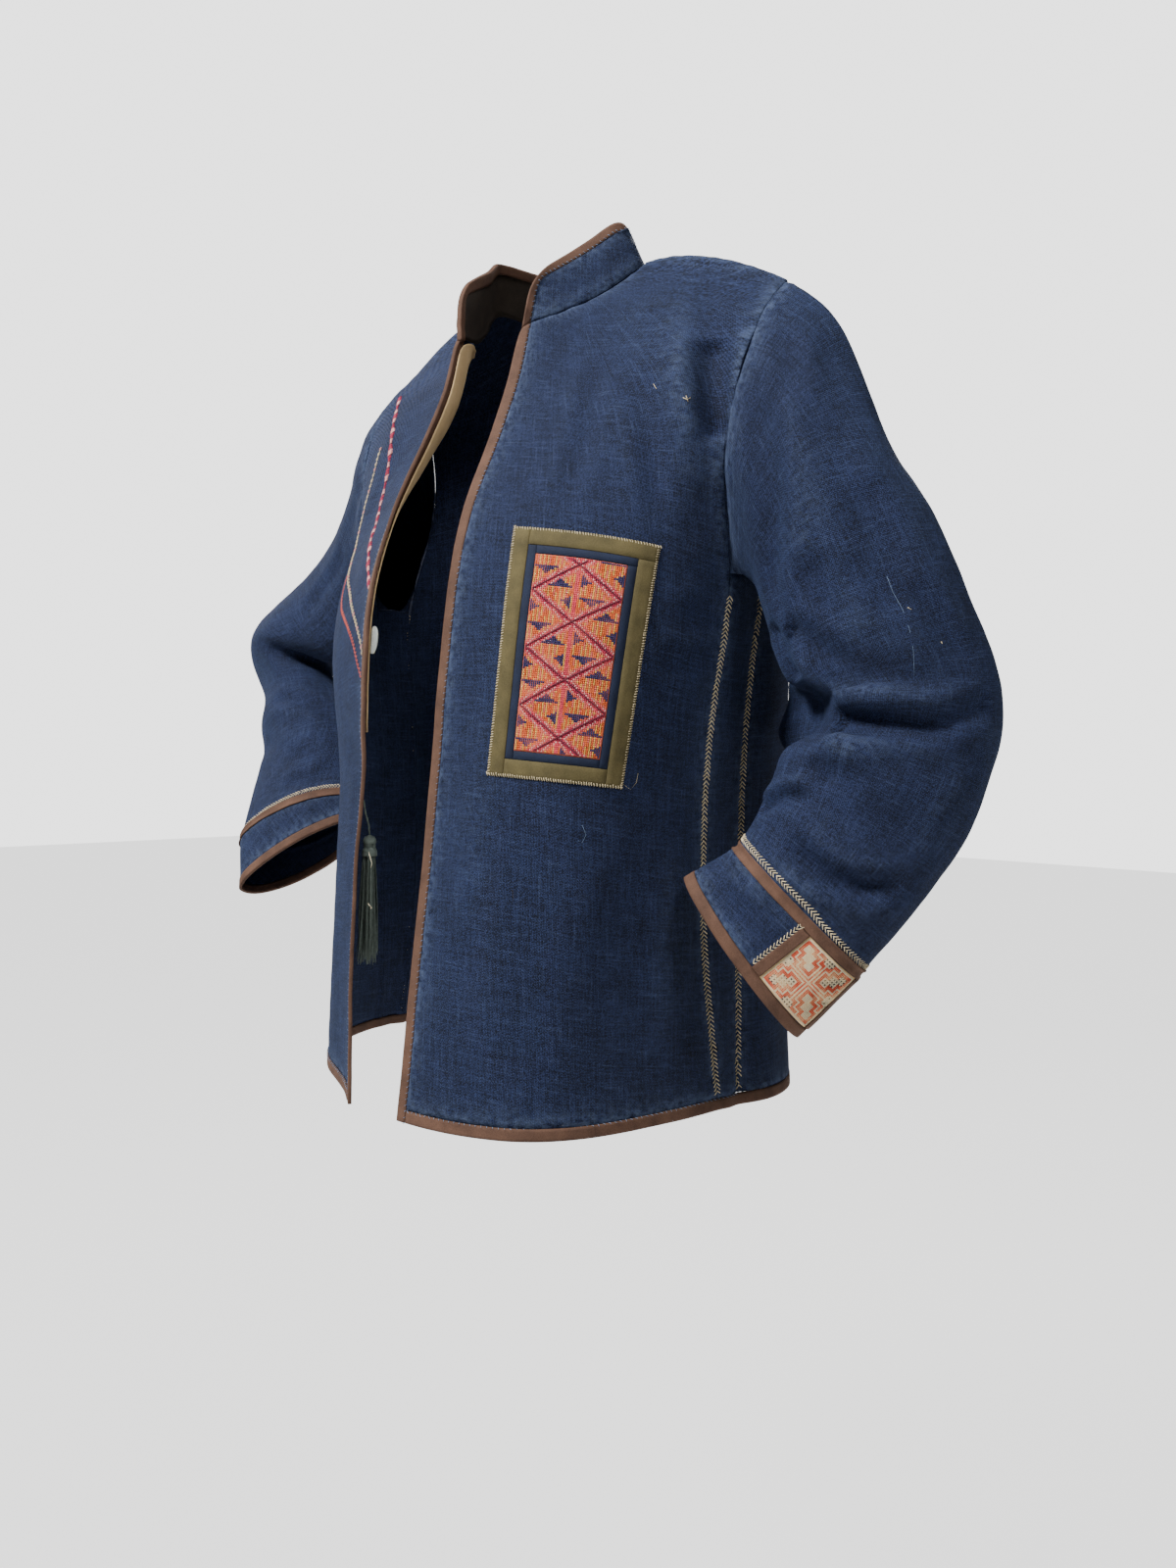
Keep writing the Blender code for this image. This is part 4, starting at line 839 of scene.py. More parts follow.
# %% Move the outer sheets
for name, panel in panels.items():
    others = np.concatenate([p.smooth[p.edge] for n, p in panels.items() if n != name])
    edge = panel.smooth[panel.edge]
    sewn = edge[nearest(edge, others)[1] < SEAM_REACH]
    outer = panel.smooth[panel.out]
    to_seam = nearest(outer, sewn)[1] if len(sewn) else np.full(len(outer), 1.0)
    to_edge = nearest(outer, edge)[1]
    move = np.zeros(len(outer))
    for owner in (name, *NEIGHBOURS[name]):
        for line, *size in lines[owner]:
            move += pressed(outer, line, *size)
    move += [uneven(place, seam) for place, seam in zip(outer, to_seam)]
    # The ditch of the seam itself, and the low ridge that its allowance makes beside it.
    move -= 0.75 * MM * np.exp(-(to_seam / 0.0022) ** 2)
    move += 0.35 * MM * np.exp(-((to_seam - 0.005) / 0.003) ** 2)
    panel.push[panel.out] = panel.normal[panel.out] * move[:, None]
    if name in ELBOW_FOLDS:
        panel.push[panel.out] += folded(outer, *ELBOW_FOLDS[name])
    rest = np.setdiff1d(np.arange(len(panel.smooth)), panel.out)
    source = panel.out[nearest(panel.smooth[rest], outer)[0]]
    panel.push[rest] = panel.push[source]
    put_places(panel.piece, panel.smooth + panel.push)
    worn = np.zeros(len(panel.smooth), np.float32)
    worn[panel.out] = np.clip(0.9 * np.exp(-to_edge / 0.0055) + move / MM * 0.06, 0, 1)
    panel.piece.data.attributes.new("worn", "FLOAT", "POINT").data.foreach_set("value", worn)
    wear(panel.piece, hemp, hemp, hemp)
    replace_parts(panel.piece, name)
    print(name, "moved", round(move.min() / MM, 1), "to", round(move.max() / MM, 1), "mm,",
          len(sewn), "corners on seams")

# %% [markdown]
# ## Trims that follow the cloth
#
# Bindings, facings and tapes are thin pieces that lie against the hemp. A shrinkwrap could lay
# them there, but it would flatten their folded edges. So they come from their own solids, and
# take the same push as the nearest hemp: a crease then runs under a tape instead of through it.
# A folded binding has soft edges, so its corners are creased only partly.

# %% Sew on the tapes and facings
hemp_smooth = np.concatenate([panel.smooth[panel.out] for panel in panels.values()])
hemp_push = np.concatenate([panel.push[panel.out] for panel in panels.values()])
hemp_normal = np.concatenate([panel.normal[panel.out] for panel in panels.values()])
hemp_tree = KDTree(len(hemp_smooth))
for k, place in enumerate(hemp_smooth):
    hemp_tree.insert(place, k)
hemp_tree.balance()
FOLLOWED = 5  # corners of hemp that a place of a trim follows


def hemp_facing(place):
    """Which way the hemp faces nearest a place."""
    return Vector(hemp_normal[hemp_tree.find(place)[1]])


def drifted(places):
    """Places near the hemp, moved as the hemp beside them has moved."""
    moved = []
    for place in places:
        found = hemp_tree.find_n(place, FOLLOWED)
        weights = np.array([1 / (away + 0.5 * MM) for _, _, away in found])
        push = hemp_push[[k for _, k, _ in found]]
        moved.append(np.array(place) + (push * weights[:, None]).sum(0) / weights.sum())
    return np.array(moved)


def trim(node, finish, corner=FULL_CREASE, wall=False, drop=0.0):
    """A soft piece made from its solid, which follows the hemp."""
    piece = subdivided(opened(node, wall), "trim_" + node, MEDIUM, corner)
    put_places(piece, drifted(places_of(piece)) - (0, 0, drop))
    wear(piece, finish)
    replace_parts(piece, node)
    return piece


BINDING_CORNER, COLLAR_BINDING_DROP = 0.62, 1.3 * MM
trims = {node: trim(node, brown, BINDING_CORNER,
                    drop=COLLAR_BINDING_DROP if node == "binding_collar" else 0.0)
         for node in ("binding_front_left", "binding_front_right", "binding_hem",
                      "binding_collar", "binding_cuff_left", "binding_cuff_right")}
for node in ("cuff_tape_left", "cuff_tape_right"):
    trims[node] = trim(node, brown)
# The collar's facing takes the darker copy of the brown cotton, which is painted shade.
trims["collar_facing"] = trim("collar_facing", brown_painted_shade, wall=True)
trims["facing_right"] = trim("facing_right", cream_cotton)
print("trims:", ", ".join(trims))

# %% [markdown]
# ## A needle
#
# Every stitch is a short length of thread that comes up out of the cloth, lies over it, and
# goes down again. One stitch is a little tube of five sides and four rings, the two middle
# rings raised. Thousands of them are joined into one mesh for each line of sewing, with a
# material for each colour of thread, because separate objects would be slow.

# %% Count round a circle
def turns(count):
    """Even angles round a circle."""
    return [2 * math.pi * n / count for n in range(count)]


def hoops(rings, sides):
    """The faces of a closed tube whose corners are listed ring by ring."""
    faces = [(k * sides + n, k * sides + (n + 1) % sides,
              (k + 1) * sides + (n + 1) % sides, (k + 1) * sides + n)
             for k in range(rings - 1) for n in range(sides)]
    return [*faces, tuple(range(sides))[::-1],
            tuple((rings - 1) * sides + n for n in range(sides))]


def new_piece(name, corners, faces):
    """A piece in the scene from its corners and faces."""
    mesh = bpy.data.meshes.new(name)
    mesh.from_pydata([tuple(corner) for corner in corners], [], faces)
    return in_scene(name, mesh)


print("faces of a stitch:", len(hoops(4, 5)))


# %% Make the needle
class Needle:
    """Collects stitches and turns them into one piece."""

    def __init__(self, name):
        self.name, self.corners, self.faces, self.colours, self.used = name, [], [], [], []

    def add(self, corners, faces, colour):
        start = len(self.corners)
        self.corners.extend(corners)
        self.faces.extend(tuple(start + k for k in face) for face in faces)
        if colour not in self.used:
            self.used.append(colour)
        self.colours.extend([self.used.index(colour)] * len(faces))

    def tube(self, line, radii, colour, sides=5):
        """A closed tube through a line of places."""
        rings = []
        for k, (place, radius) in enumerate(zip(line, radii)):
            ahead = (line[min(k + 1, len(line) - 1)] - line[max(k - 1, 0)]).normalized()
            side = ahead.cross(Vector((0.31, 0.87, 0.38))).normalized()
            other = ahead.cross(side)
            rings += [place + (side * math.cos(turn) + other * math.sin(turn)) * radius
                      for turn in turns(sides)]
        self.add(rings, hoops(len(line), sides), colour)

    def stitch(self, a, b, up, radius, colour, rise=1.0):
        """One stitch from a to b on a surface that faces up."""
        sink, top = -0.5 * radius, radius * rise
        line = [a + up * sink, a.lerp(b, 0.22) + up * top, a.lerp(b, 0.78) + up * top,
                b + up * sink]
        self.tube(line, [radius * 0.7, radius, radius, radius * 0.7], colour)

    def sewn(self, slot):
        """The finished piece, on the wearer's body."""
        piece = new_piece(self.name, self.corners, self.faces)
        wear(piece, *(THREADS[colour] for colour in self.used))
        piece.data.polygons.foreach_set("material_index", self.colours)
        print(self.name, len(self.faces), "faces")
        return piece

print("a needle can", ", ".join(word for word in vars(Needle) if not word.startswith("_")))


# %% Find the cloth under the needle
def along(line, step, start=0.0):
    """Places at even steps along a line, each with the direction there."""
    spots, run = [], start
    for a, b in zip(line[:-1], line[1:]):
        long = (b - a).length
        while run < long:
            spots.append((a.lerp(b, run / long), (b - a) / long))
            run += step
        run -= long
    return spots


class Surface:
    """The finished outside of some pieces, to lay things on."""

    def __init__(self, *pieces):
        corners, faces = [], []
        for piece in pieces:
            start = len(corners)
            corners += [v.co[:] for v in piece.data.vertices]
            faces += [[start + k for k in p.vertices] for p in piece.data.polygons]
        self.tree = BVHTree.FromPolygons(corners, faces)

    def touch(self, place, reach=0.02):
        """The surface's nearest place and the way it faces."""
        spot, normal = self.tree.find_nearest(place, reach)[:2]
        return (spot, normal) if spot is not None else (Vector(place), Vector((0, -1, 0)))

    def drop(self, place, way, far=0.04):
        """Where something let go from far above the place lands on the surface."""
        spot, normal = self.tree.ray_cast(place - way * far, way, far * 2)[:2]
        return (spot, normal) if spot is not None else self.touch(place)

    def seen(self, x, y):
        """The place that the camera sees at a picture place, and the way it faces."""
        return self.tree.ray_cast(EYE, sight(x, y))[:2]


outside = Surface(*(panel.piece for panel in panels.values()), *trims.values())
print("pieces of the outside:", len(panels) + len(trims))

# %% [markdown]
# ## Feather stitch
#
# The side seams and the cuffs are covered by a line of cream feather stitch: small open Vs, each
# caught by the next. An array along a curve would make every V alike. Here one V is two stitches
# that meet on the line, and the steps and widths vary a little, as they do by hand.

# %% Sew the seams and cuffs
hand = random.Random(7)
LIFT = 1.5 * MM  # above the cloth, so that its outer sheet is the nearest


def feather(needle, line, ground, step, wide, radius):
    """Open cream Vs along a line on the ground."""
    for spot, ahead in along(line, step, step * 0.4):
        spot, up = ground.touch(spot)
        spot, up = ground.touch(spot + up * LIFT)
        side = ahead.cross(up).normalized()
        reach = wide * hand.uniform(0.45, 0.54)
        back = step * hand.uniform(0.95, 1.15)
        for turn in (-1, 1):
            tip = ground.touch(spot - ahead * back + side * (turn * reach) + up * LIFT)[0]
            needle.stitch(spot + side * (turn * -0.08 * wide * hand.random()), tip, up,
                          radius * hand.uniform(0.85, 1.1), "cream")


def smoothed(line, times=4):
    """The same line with its small kinks taken out."""
    for _ in range(times):
        line = [line[0], *((a + b * 2 + c) / 4 for a, b, c in zip(line, line[1:], line[2:])),
                line[-1]]
    return line


def side_lines(name):
    """The two sewn edges of a side panel, from its hem up: the front one and the back one."""
    panel = panels[name]
    edge = (panel.smooth + panel.push)[panel.edge]
    low, high = edge[:, 2].min(), edge[:, 2].max()
    front, back = [], []
    for height in np.arange(low + 0.001, high - 0.004, 0.006):
        near = edge[np.abs(edge[:, 2] - height) < 0.007]
        if len(near) > 1:
            for line, spot in ((front, near[near[:, 1].argmin()]),
                               (back, near[near[:, 1].argmax()])):
                spot = Vector(spot)
                line.append(spot + Vector((spot.x, spot.y, 0)).normalized() * 2 * MM)
    return [smoothed(line) for line in (front, back)]


seams = Needle("side_seam_stitches")
for name in ("side_panel_left", "side_panel_right"):
    for line in side_lines(name):
        feather(seams, line, outside, 2.95 * MM, 6.0 * MM, 0.36 * MM)
seams.sewn("cream_cotton")

# %% [markdown]
# ## Blanket of small whip stitches along the bindings
#
# The bindings are folded over the raw edge and caught down by hand with a pale blue thread.
# Only a dot of it shows every four millimetres. Such dots could be painted, but a raised one
# catches the light. The corner of each binding that lies nearest to the hemp's outer sheet
# gives the line to follow.

# %% Whip the bindings down
def hemp_side(node):
    """The line where a binding meets the outside of the hemp, ring by ring from one end."""
    shape = opened(node, False)
    shape.verts.index_update()
    ends = [face for face in shape.faces if not any(edge.smooth for edge in face.edges)]
    now, rings, seen = list(min(ends, key=lambda face: face.calc_area()).verts), [], set()
    while now:
        rings.append(now)
        seen.update(now)
        now = beyond(now, seen)
    line = [min(ring, key=lambda corner: hemp_tree.find(corner.co)[2]).co.copy()
            for ring in rings]
    shape.free()
    return [Vector(place) for place in drifted(line)]


whips = Needle("binding_whip_stitches")
for node in ("binding_front_left", "binding_front_right", "binding_hem", "binding_collar"):
    for spot, ahead in along(hemp_side(node), 4.1 * MM):
        spot, up = outside.touch(spot)
        side = ahead.cross(up).normalized() * 0.9 * MM
        lean = ahead * (0.5 * MM)
        whips.stitch(spot - side - lean, spot + side + lean, up, 0.2 * MM, "pale_blue", 0.9)
whips.sewn("indigo_hemp")

# %% [markdown]
# ## Patches
#
# A patch is sewn flat onto cloth that is not flat. A flat patch could be wrapped onto it
# afterwards, but its stitches would drift apart. So each patch is planned on a flat sheet with
# its own two lengths, and every place of the plan is dropped onto the hemp beneath it. A plate
# is a thin box with slightly rounded edges, and a tent is one raised counted stitch.

# %% Plan the patches
def solid_places(node):
    """Every corner of a solid, as an array."""
    return np.array([v.co[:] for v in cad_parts[node].data.vertices])


class Plan:
    """A flat plan, in metres, laid over four corners of the cloth."""

    def __init__(self, node, across, ground):
        solid = solid_places(node)
        self.ground, self.up = ground, hemp_facing(Vector(solid.mean(0)))
        across = (across - self.up * across.dot(self.up)).normalized()
        down = across.cross(self.up) * -1
        if down.z > 0 and node == "patch_frame":
            down = -down
        u, v = solid @ np.array(across), solid @ np.array(down)
        u, v = (u - u.mean()) / np.ptp(u), (v - v.mean()) / np.ptp(v)
        self.corners = [Vector(solid[k.argmax()]) for k in (-u - v, u - v, u + v, v - u)]
        a, b, c, d = self.corners
        self.wide = ((b - a).length + (c - d).length) / 2
        self.high = ((d - a).length + (c - b).length) / 2

    def at(self, x, y, height=0.0):
        """The place above the cloth at x across and y down the plan, and which way it faces."""
        s, t = x / self.wide, y / self.high
        a, b, c, d = self.corners
        place = a.lerp(b, s).lerp(d.lerp(c, s), t)
        spot, up = self.ground.drop(place, -self.up, 0.03)
        return spot + up * height, up


chest = Plan("patch_frame", Vector((1, 0, 0)), Surface(panels["front_left"].piece))
print("chest patch", round(chest.wide / MM), "by", round(chest.high / MM), "mm")

# %% Cut the plates
PLATE_STEP, PLATE_SOFT = 3.5 * MM, 0.35 * MM


def plate(plan, name, box, low, high, finish, step=PLATE_STEP, soft=PLATE_SOFT):
    """A thin plate over the box (left, top, right, bottom) of the plan."""
    def marks(first, last):
        count = max(2, round((last - first) / step))
        return [first, first + soft, *(first + (last - first) * k / count
                                       for k in range(1, count)), last - soft, last]

    left, top, right, bottom = box
    xs, ys = marks(left, right), marks(top, bottom)
    corners, faces = [], []
    for level in (0, 1):
        for j, y in enumerate(ys):
            for i, x in enumerate(xs):
                rim = i in (0, len(xs) - 1) or j in (0, len(ys) - 1)
                height = high - soft * rim if level else low
                ripple = noise.noise(Vector((x * 150, y * 150, high * 900)))
                corners.append(plan.at(x, y, height + level * 0.3 * MM * ripple)[0])
    wide, layer = len(xs), len(xs) * len(ys)
    for j in range(len(ys) - 1):
        for i in range(wide - 1):
            k = j * wide + i
            faces.append((layer + k, layer + k + 1, layer + k + wide + 1, layer + k + wide))
            faces.append((k + wide, k + wide + 1, k + 1, k))
    border = [*range(wide), *(j * wide + wide - 1 for j in range(1, len(ys))),
              *(layer - 2 - i for i in range(wide - 1)),
              *(j * wide for j in range(len(ys) - 2, 0, -1))]
    faces += [(a, b, layer + b, layer + a) for a, b in zip(border, border[1:] + border[:1])]
    piece = new_piece(name, corners, faces)
    shape = bmesh.new()
    shape.from_mesh(piece.data)
    bmesh.ops.recalc_face_normals(shape, faces=shape.faces)
    shape.to_mesh(piece.data)
    shape.free()
    wear(piece, finish)
    return piece


print("a plate's places are", PLATE_STEP / MM, "mm apart")

# %% Raise one counted stitch
TENT_INSET, TENT_SINK, TENT_LEAN = 0.06, 0.05 * MM, 0.22


def tent(needle, plan, x, y, wide, high, height, rise, colour, lean, reach=0.55):
    """A small raised stitch that fills one hole of the canvas, leaning a little."""
    up = plan.at(x + wide / 2, y + high / 2, height)[1]
    a, b, c, d = (plan.at(x + wide * i, y + high * j, height)[0]
                  for i, j in ((0, 0), (1, 0), (1, 1), (0, 1)))
    middle = (a + b + c + d) / 4
    low = middle.lerp((d + c) / 2, reach) + (d - c) * (TENT_LEAN * lean)
    top = middle.lerp((a + b) / 2, reach) + (b - a) * (TENT_LEAN * lean)
    base = [p.lerp(middle, TENT_INSET) - up * TENT_SINK for p in (a, b, c, d)]
    needle.add([*base, top + up * rise, low + up * rise],
               [(0, 1, 2, 3), (1, 0, 4), (3, 2, 5), (0, 3, 5, 4), (2, 1, 4, 5)], colour)


print("a tent's edge is drawn in by", TENT_INSET, "of its hole")

# %% [markdown]
# ## The chest patch
#
# An embroidered window sits in a narrow navy border and a wide olive frame. One plate with a
# hole would do for each, but it would miss the seams: the four strips meet at the corners the
# way they were sewn on, one after another. The frame's outer edge is overcast in cream.

# %% Lay the frame and the border
FRAME_WIDE, BORDER_WIDE = 11.5 * MM, 5.5 * MM
wide, high = chest.wide, chest.high


def strips(inset, width, word, low, top, finish):
    """Four strips round a window: left, top, right and bottom."""
    a, b, gap = inset, inset + width, 0.12 * MM
    boxes = [(a, a, b, high - a), (b + gap, a, wide - a, b),
             (wide - b, b + gap, wide - a, high - a), (b + gap, high - b, wide - b - gap, high - a)]
    rises = (0.0, 0.12 * MM, 0.05 * MM, 0.0)
    return [plate(chest, f"{word}_{k}", box, low, top + rise, finish)
            for k, (box, rise) in enumerate(zip(boxes, rises))]


frame_strips = strips(0.0, FRAME_WIDE, "patch_frame_strip", 0.1 * MM, 1.0 * MM, olive)
border_strips = strips(FRAME_WIDE + 0.15 * MM, BORDER_WIDE, "patch_border_strip", 0.1 * MM,
                       0.8 * MM, navy)
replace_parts(frame_strips[0], "patch_frame")
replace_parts(border_strips[0], "patch_border")
WINDOW = FRAME_WIDE + BORDER_WIDE + 0.3 * MM
canvas = plate(chest, "patch_canvas", (WINDOW, WINDOW, wide - WINDOW, high - WINDOW), 0.1 * MM,
               0.6 * MM, window_ground)
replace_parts(canvas, "patch_panel")
print("window:", round((wide - 2 * WINDOW) / MM), "by", round((high - 2 * WINDOW) / MM), "mm")

# %% [markdown]
# ## Counted embroidery
#
# The window is filled with counted stitches, one for each hole of the canvas. The design is a
# common one: a lattice of diamonds whose bars are pink with a dark thread laid along them, a
# pink line down the middle, and in each diamond four navy triangles that turn about its centre
# like a pinwheel. The ground is ribbed in orange and yellow. A picture of it would be flat, so
# every stitch is a small raised shape whose colour is worked out from counts, as an embroiderer
# works it out.

# %% Count the stitches of the window
HALF_WIDE, HALF_HIGH, FIRST_CROSSING = 22, 14, 3
COLUMNS = 2 * HALF_WIDE
MARGIN = 0.5 * MM
STITCH = (wide - 2 * WINDOW - 2 * MARGIN) / COLUMNS
STITCH_HIGH = STITCH * 1.02
ROWS = int((high - 2 * WINDOW - 2 * MARGIN) / STITCH_HIGH)
# Triangles about a diamond's centre: the ends of the flat side, and the point.
PINWHEEL = [((-13, -3), (-3, -3), (-8, -6)), ((2, -9), (2, -4), (6, -6)),
            ((-2, 2), (-2, 7), (-6, 4)), ((3, 2), (13, 2), (8, 5))]


def in_triangle(x, y, triangle):
    """Whether a hole lies in a triangle, or touches its side."""
    sides = [(x2 - x1) * (y - y1) - (y2 - y1) * (x - x1)
             for (x1, y1), (x2, y2) in zip(triangle, triangle[1:] + triangle[:1])]
    return all(side >= -2 for side in sides) or all(side <= 2 for side in sides)


def window_colour(column, row):
    """The thread for one hole: the lattice first, then the pinwheels, then the ribs."""
    x = column - HALF_WIDE + 0.5
    y = (row - FIRST_CROSSING) % (2 * HALF_HIGH)
    bar = abs(abs(x) / HALF_WIDE + abs(y - HALF_HIGH) / HALF_HIGH - 1) * HALF_HIGH
    if bar < 0.9:
        return "deep_pink"
    if bar < 2.4:
        return "light_pink" if (column + row) % 2 == 0 else "pink"
    centres = [(HALF_WIDE - 0.5, HALF_HIGH), (-2.5, 0), (-2.5, 2 * HALF_HIGH),
               (COLUMNS + 1.5, 0), (COLUMNS + 1.5, 2 * HALF_HIGH)]
    for cx, cy in centres:
        dx, dy = column - cx, y - cy
        if any(in_triangle(dx, dy, triangle) for triangle in PINWHEEL):
            return "navy"
    if abs(x) < 1.2:
        return "pink"
    if bar < 3.2:
        return "salmon"
    if column % 2:
        return "salmon" if (column // 2 + row // 4) % 3 == 0 else "orange"
    return "orange" if (column // 2 + row // 6) % 4 == 0 else "yellow"


print("holes of the window:", COLUMNS, "by", ROWS)


# %% Stitch the window
def hole(column, row):
    """The plan's lengths at a hole of the canvas."""
    return WINDOW + MARGIN + column * STITCH, WINDOW + MARGIN + row * STITCH_HIGH


window = Needle("window_embroidery")
for row in range(ROWS):
    for column in range(COLUMNS):
        tent(window, chest, *hole(column, row), STITCH, STITCH_HIGH, 0.6 * MM,
             hand.uniform(0.38, 0.52) * MM, window_colour(column, row),
             0.5 if row % 2 else -0.5, reach=0.92)


def lattice_line(x1, y1, x2, y2):
    """A long dark stitch laid along one bar, in holes, cut off at the window's ends."""
    spots = [(x1 + (x2 - x1) * k / 24, y1 + (y2 - y1) * k / 24) for k in range(25)]
    line = [chest.at(*hole(x, y), 1.05 * MM)[0] for x, y in spots if 0.4 <= y <= ROWS - 0.4]
    if len(line) > 2:
        window.tube(line, [0.33 * MM] * len(line), "burgundy")


for crossing in range(FIRST_CROSSING, ROWS + HALF_HIGH, 2 * HALF_HIGH):
    for end in (0.3, COLUMNS - 0.3):
        for turn in (-1, 1):
            lattice_line(HALF_WIDE, crossing, end, crossing + turn * HALF_HIGH)
window.sewn("embroidered_cotton")
print("window:", COLUMNS, "by", ROWS, "stitches of", round(STITCH / MM, 2), "mm")

# %% Overcast the frame's edge
overcast = Needle("patch_overcast")
edges = [((0, 0), (wide, 0)), ((wide, 0), (wide, high)), ((wide, high), (0, high)),
         ((0, high), (0, 0))]
for (x1, y1), (x2, y2) in edges:
    long = math.hypot(x2 - x1, y2 - y1)
    ax, ay = (x2 - x1) / long, (y2 - y1) / long
    run = 0.6 * MM
    while run < long:
        out, inn = 0.35 * MM, hand.uniform(1.5, 2.0) * MM
        x, y = x1 + ax * run, y1 + ay * run
        lean = hand.uniform(0.5, 0.9) * MM
        a, up = chest.at(x + ay * out, y - ax * out, 0.35 * MM)
        b, _ = chest.at(x - ay * inn + ax * lean, y + ax * inn + ay * lean, 1.0 * MM)
        overcast.stitch(a, b, up, 0.3 * MM, "cream")
        run += hand.uniform(1.5, 1.9) * MM
overcast.sewn("cream_cotton")

# %% [markdown]
# ## The cuff patches
#
# Each cuff has a square of counted stitches, coral on bone, framed by brown tape. The motif is
# a common one: four stepped flowers in the quarters of a plain cross, each with coral rings
# parted by a bone line, and bone middles, some of them pricked with dark dots. One quarter is
# worked out from counts and turned about, as with the window.

# %% Count the stitches of the cuff squares
# The middle of a flower, as overlapping boxes of holes: left, top, right, bottom.
FLOWER = [(3, 3, 7, 7), (6, 6, 11, 11), (10, 10, 14, 14)]
SQUARE = 39  # holes on each side


def square_colour(column, row, count):
    """The thread for one hole of a cuff square."""
    half = count // 2
    if column == half or row == half:
        return "bone"
    x = column if column < half else count - 1 - column
    y = row if row < half else count - 1 - row
    if x == 0 or y == 0:
        return "bone"
    if max(x, y) > half - 4 and min(x, y) < 4:
        return "ink" if x % 2 == 0 and y % 2 == 1 else "bone"
    away = min(max(left - x, x - right, top - y, y - bottom, 0)
               for left, top, right, bottom in FLOWER)
    if away == 0:
        dotted = (column < half) == (row < half)
        return "ink" if dotted and x % 2 == 1 and y % 2 == 1 else "bone"
    return "bone" if away % 3 == 0 else "coral"


cuff_stitches = Needle("cuff_embroidery")
arm_ways = {}
for side in ("left", "right"):
    arm_ways[side] = Vector(solid_places("cuff_tape_" + side).mean(0)
                            - solid_places("binding_cuff_" + side).mean(0)).normalized()
    node = "cuff_patch_" + side
    across = arm_ways[side].cross(hemp_facing(Vector(solid_places(node).mean(0))))
    square = Plan(node, across, Surface(panels["cuff_" + side].piece))
    base = plate(square, "cuff_square_" + side, (0, 0, square.wide, square.high), 0.1 * MM,
                 0.9 * MM, cream_cotton, 3 * MM)
    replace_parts(base, node)
    inset = 0.8 * MM
    step_x = (square.wide - 2 * inset) / SQUARE
    step_y = (square.high - 2 * inset) / SQUARE
    for row in range(SQUARE):
        for column in range(SQUARE):
            tent(cuff_stitches, square, inset + column * step_x, inset + row * step_y, step_x,
                 step_y, 0.85 * MM, hand.uniform(0.25, 0.4) * MM,
                 square_colour(column, row, SQUARE), 1 if (row + column) % 2 else -1)
    for word in ("patch_tape_high_", "patch_tape_low_"):
        trims[word + side] = trim(word + side, brown)
    print(side, "square", round(square.wide / MM), "by", round(square.high / MM), "mm")
cuff_stitches.sewn("coral_weave")

# %% [markdown]
# ## Feather stitch round the cuffs
#
# The same stitch covers the upper edge of each cuff tape and the outer sides of each square's
# tapes. The line could be drawn by hand, but the tape's own edge is truer. It is found as a loop
# of sharp edges: of the four round the tape, the pair nearest the elbow, and of that pair the
# longer one, which is outside.

# %% Sew round the cuffs
def sharp_loops(shape):
    """Each closed loop of sharp edges, in order."""
    left = {edge for edge in shape.edges if not edge.smooth}
    loops = []
    while left:
        edge = min(left, key=lambda e: e.index)
        left.discard(edge)
        line, tip = [edge.verts[0], edge.verts[1]], edge.verts[1]
        while True:
            more = [e for e in tip.link_edges if e in left]
            if not more:
                break
            left.discard(more[0])
            tip = more[0].other_vert(tip)
            line.append(tip)
        loops.append([corner.co.copy() for corner in line])
    return loops


def length_of(line):
    return sum((b - a).length for a, b in zip(line[:-1], line[1:]))


cuff_seams = Needle("cuff_feather_stitches")
for side in ("left", "right"):
    way = arm_ways[side]
    ground = Surface(panels["cuff_" + side].piece, panels["sleeve_" + side].piece,
                     trims["cuff_tape_" + side])
    shape = opened("cuff_tape_" + side, False)
    shape.edges.index_update()
    loops = sorted(sharp_loops(shape), key=lambda line: -sum(p.dot(way) for p in line) / len(line))
    shape.free()
    edge = [Vector(p) for p in drifted(max(loops[:2], key=length_of))]
    heart = sum(edge, Vector()) / len(edge)
    edge = [p + way * 2.5 * MM + (p - heart).normalized() * 3 * MM for p in edge]
    feather(cuff_seams, edge, Surface(panels["sleeve_" + side].piece), 2.7 * MM,
            4.4 * MM, 0.34 * MM)
    middle = Vector(solid_places("cuff_patch_" + side).mean(0))
    across = way.cross(hemp_facing(middle)).normalized()
    for word, step, reach, radius in (("high", 2.7, 3.8, 0.33), ("low", 3.4, 2.0, 0.26)):
        strip = [Vector(p) for p in solid_places(f"patch_tape_{word}_{side}")]
        sign = 1 if (strip[0] - middle).dot(across) > 0 else -1
        ends = []
        for turn in (1, -1):
            end = max(p.dot(way) * turn for p in strip)
            near = [p for p in strip if p.dot(way) * turn > end - 3 * MM]
            ends.append(max(near, key=lambda p: (p - middle).dot(across) * sign))
        line = [ends[0].lerp(ends[1], k / 8) + across * (sign * 1.2 * MM) for k in range(9)]
        line = [ground.touch(Vector(p))[0] for p in drifted(line)]
        feather(cuff_seams, line, ground, step * MM, reach * MM, radius * MM)
cuff_seams.sewn("cream_cotton")

# %% [markdown]
# ## Embroidery on the right front
#
# Three lines curve over the right chest: a narrow satin band in blocks of dark and light pink,
# a couched cream thread with small knots, and a salmon zigzag. Flat ribbons would lose their
# stitches, so the lines are aimed at the cloth and every stitch is laid on the surface it meets.

# %% Embroider the right front
GRAZING, SLIDE = 0.09, 40  # least facing to the camera, and picture places to move in by
right_chest = Surface(panels["front_right"].piece)


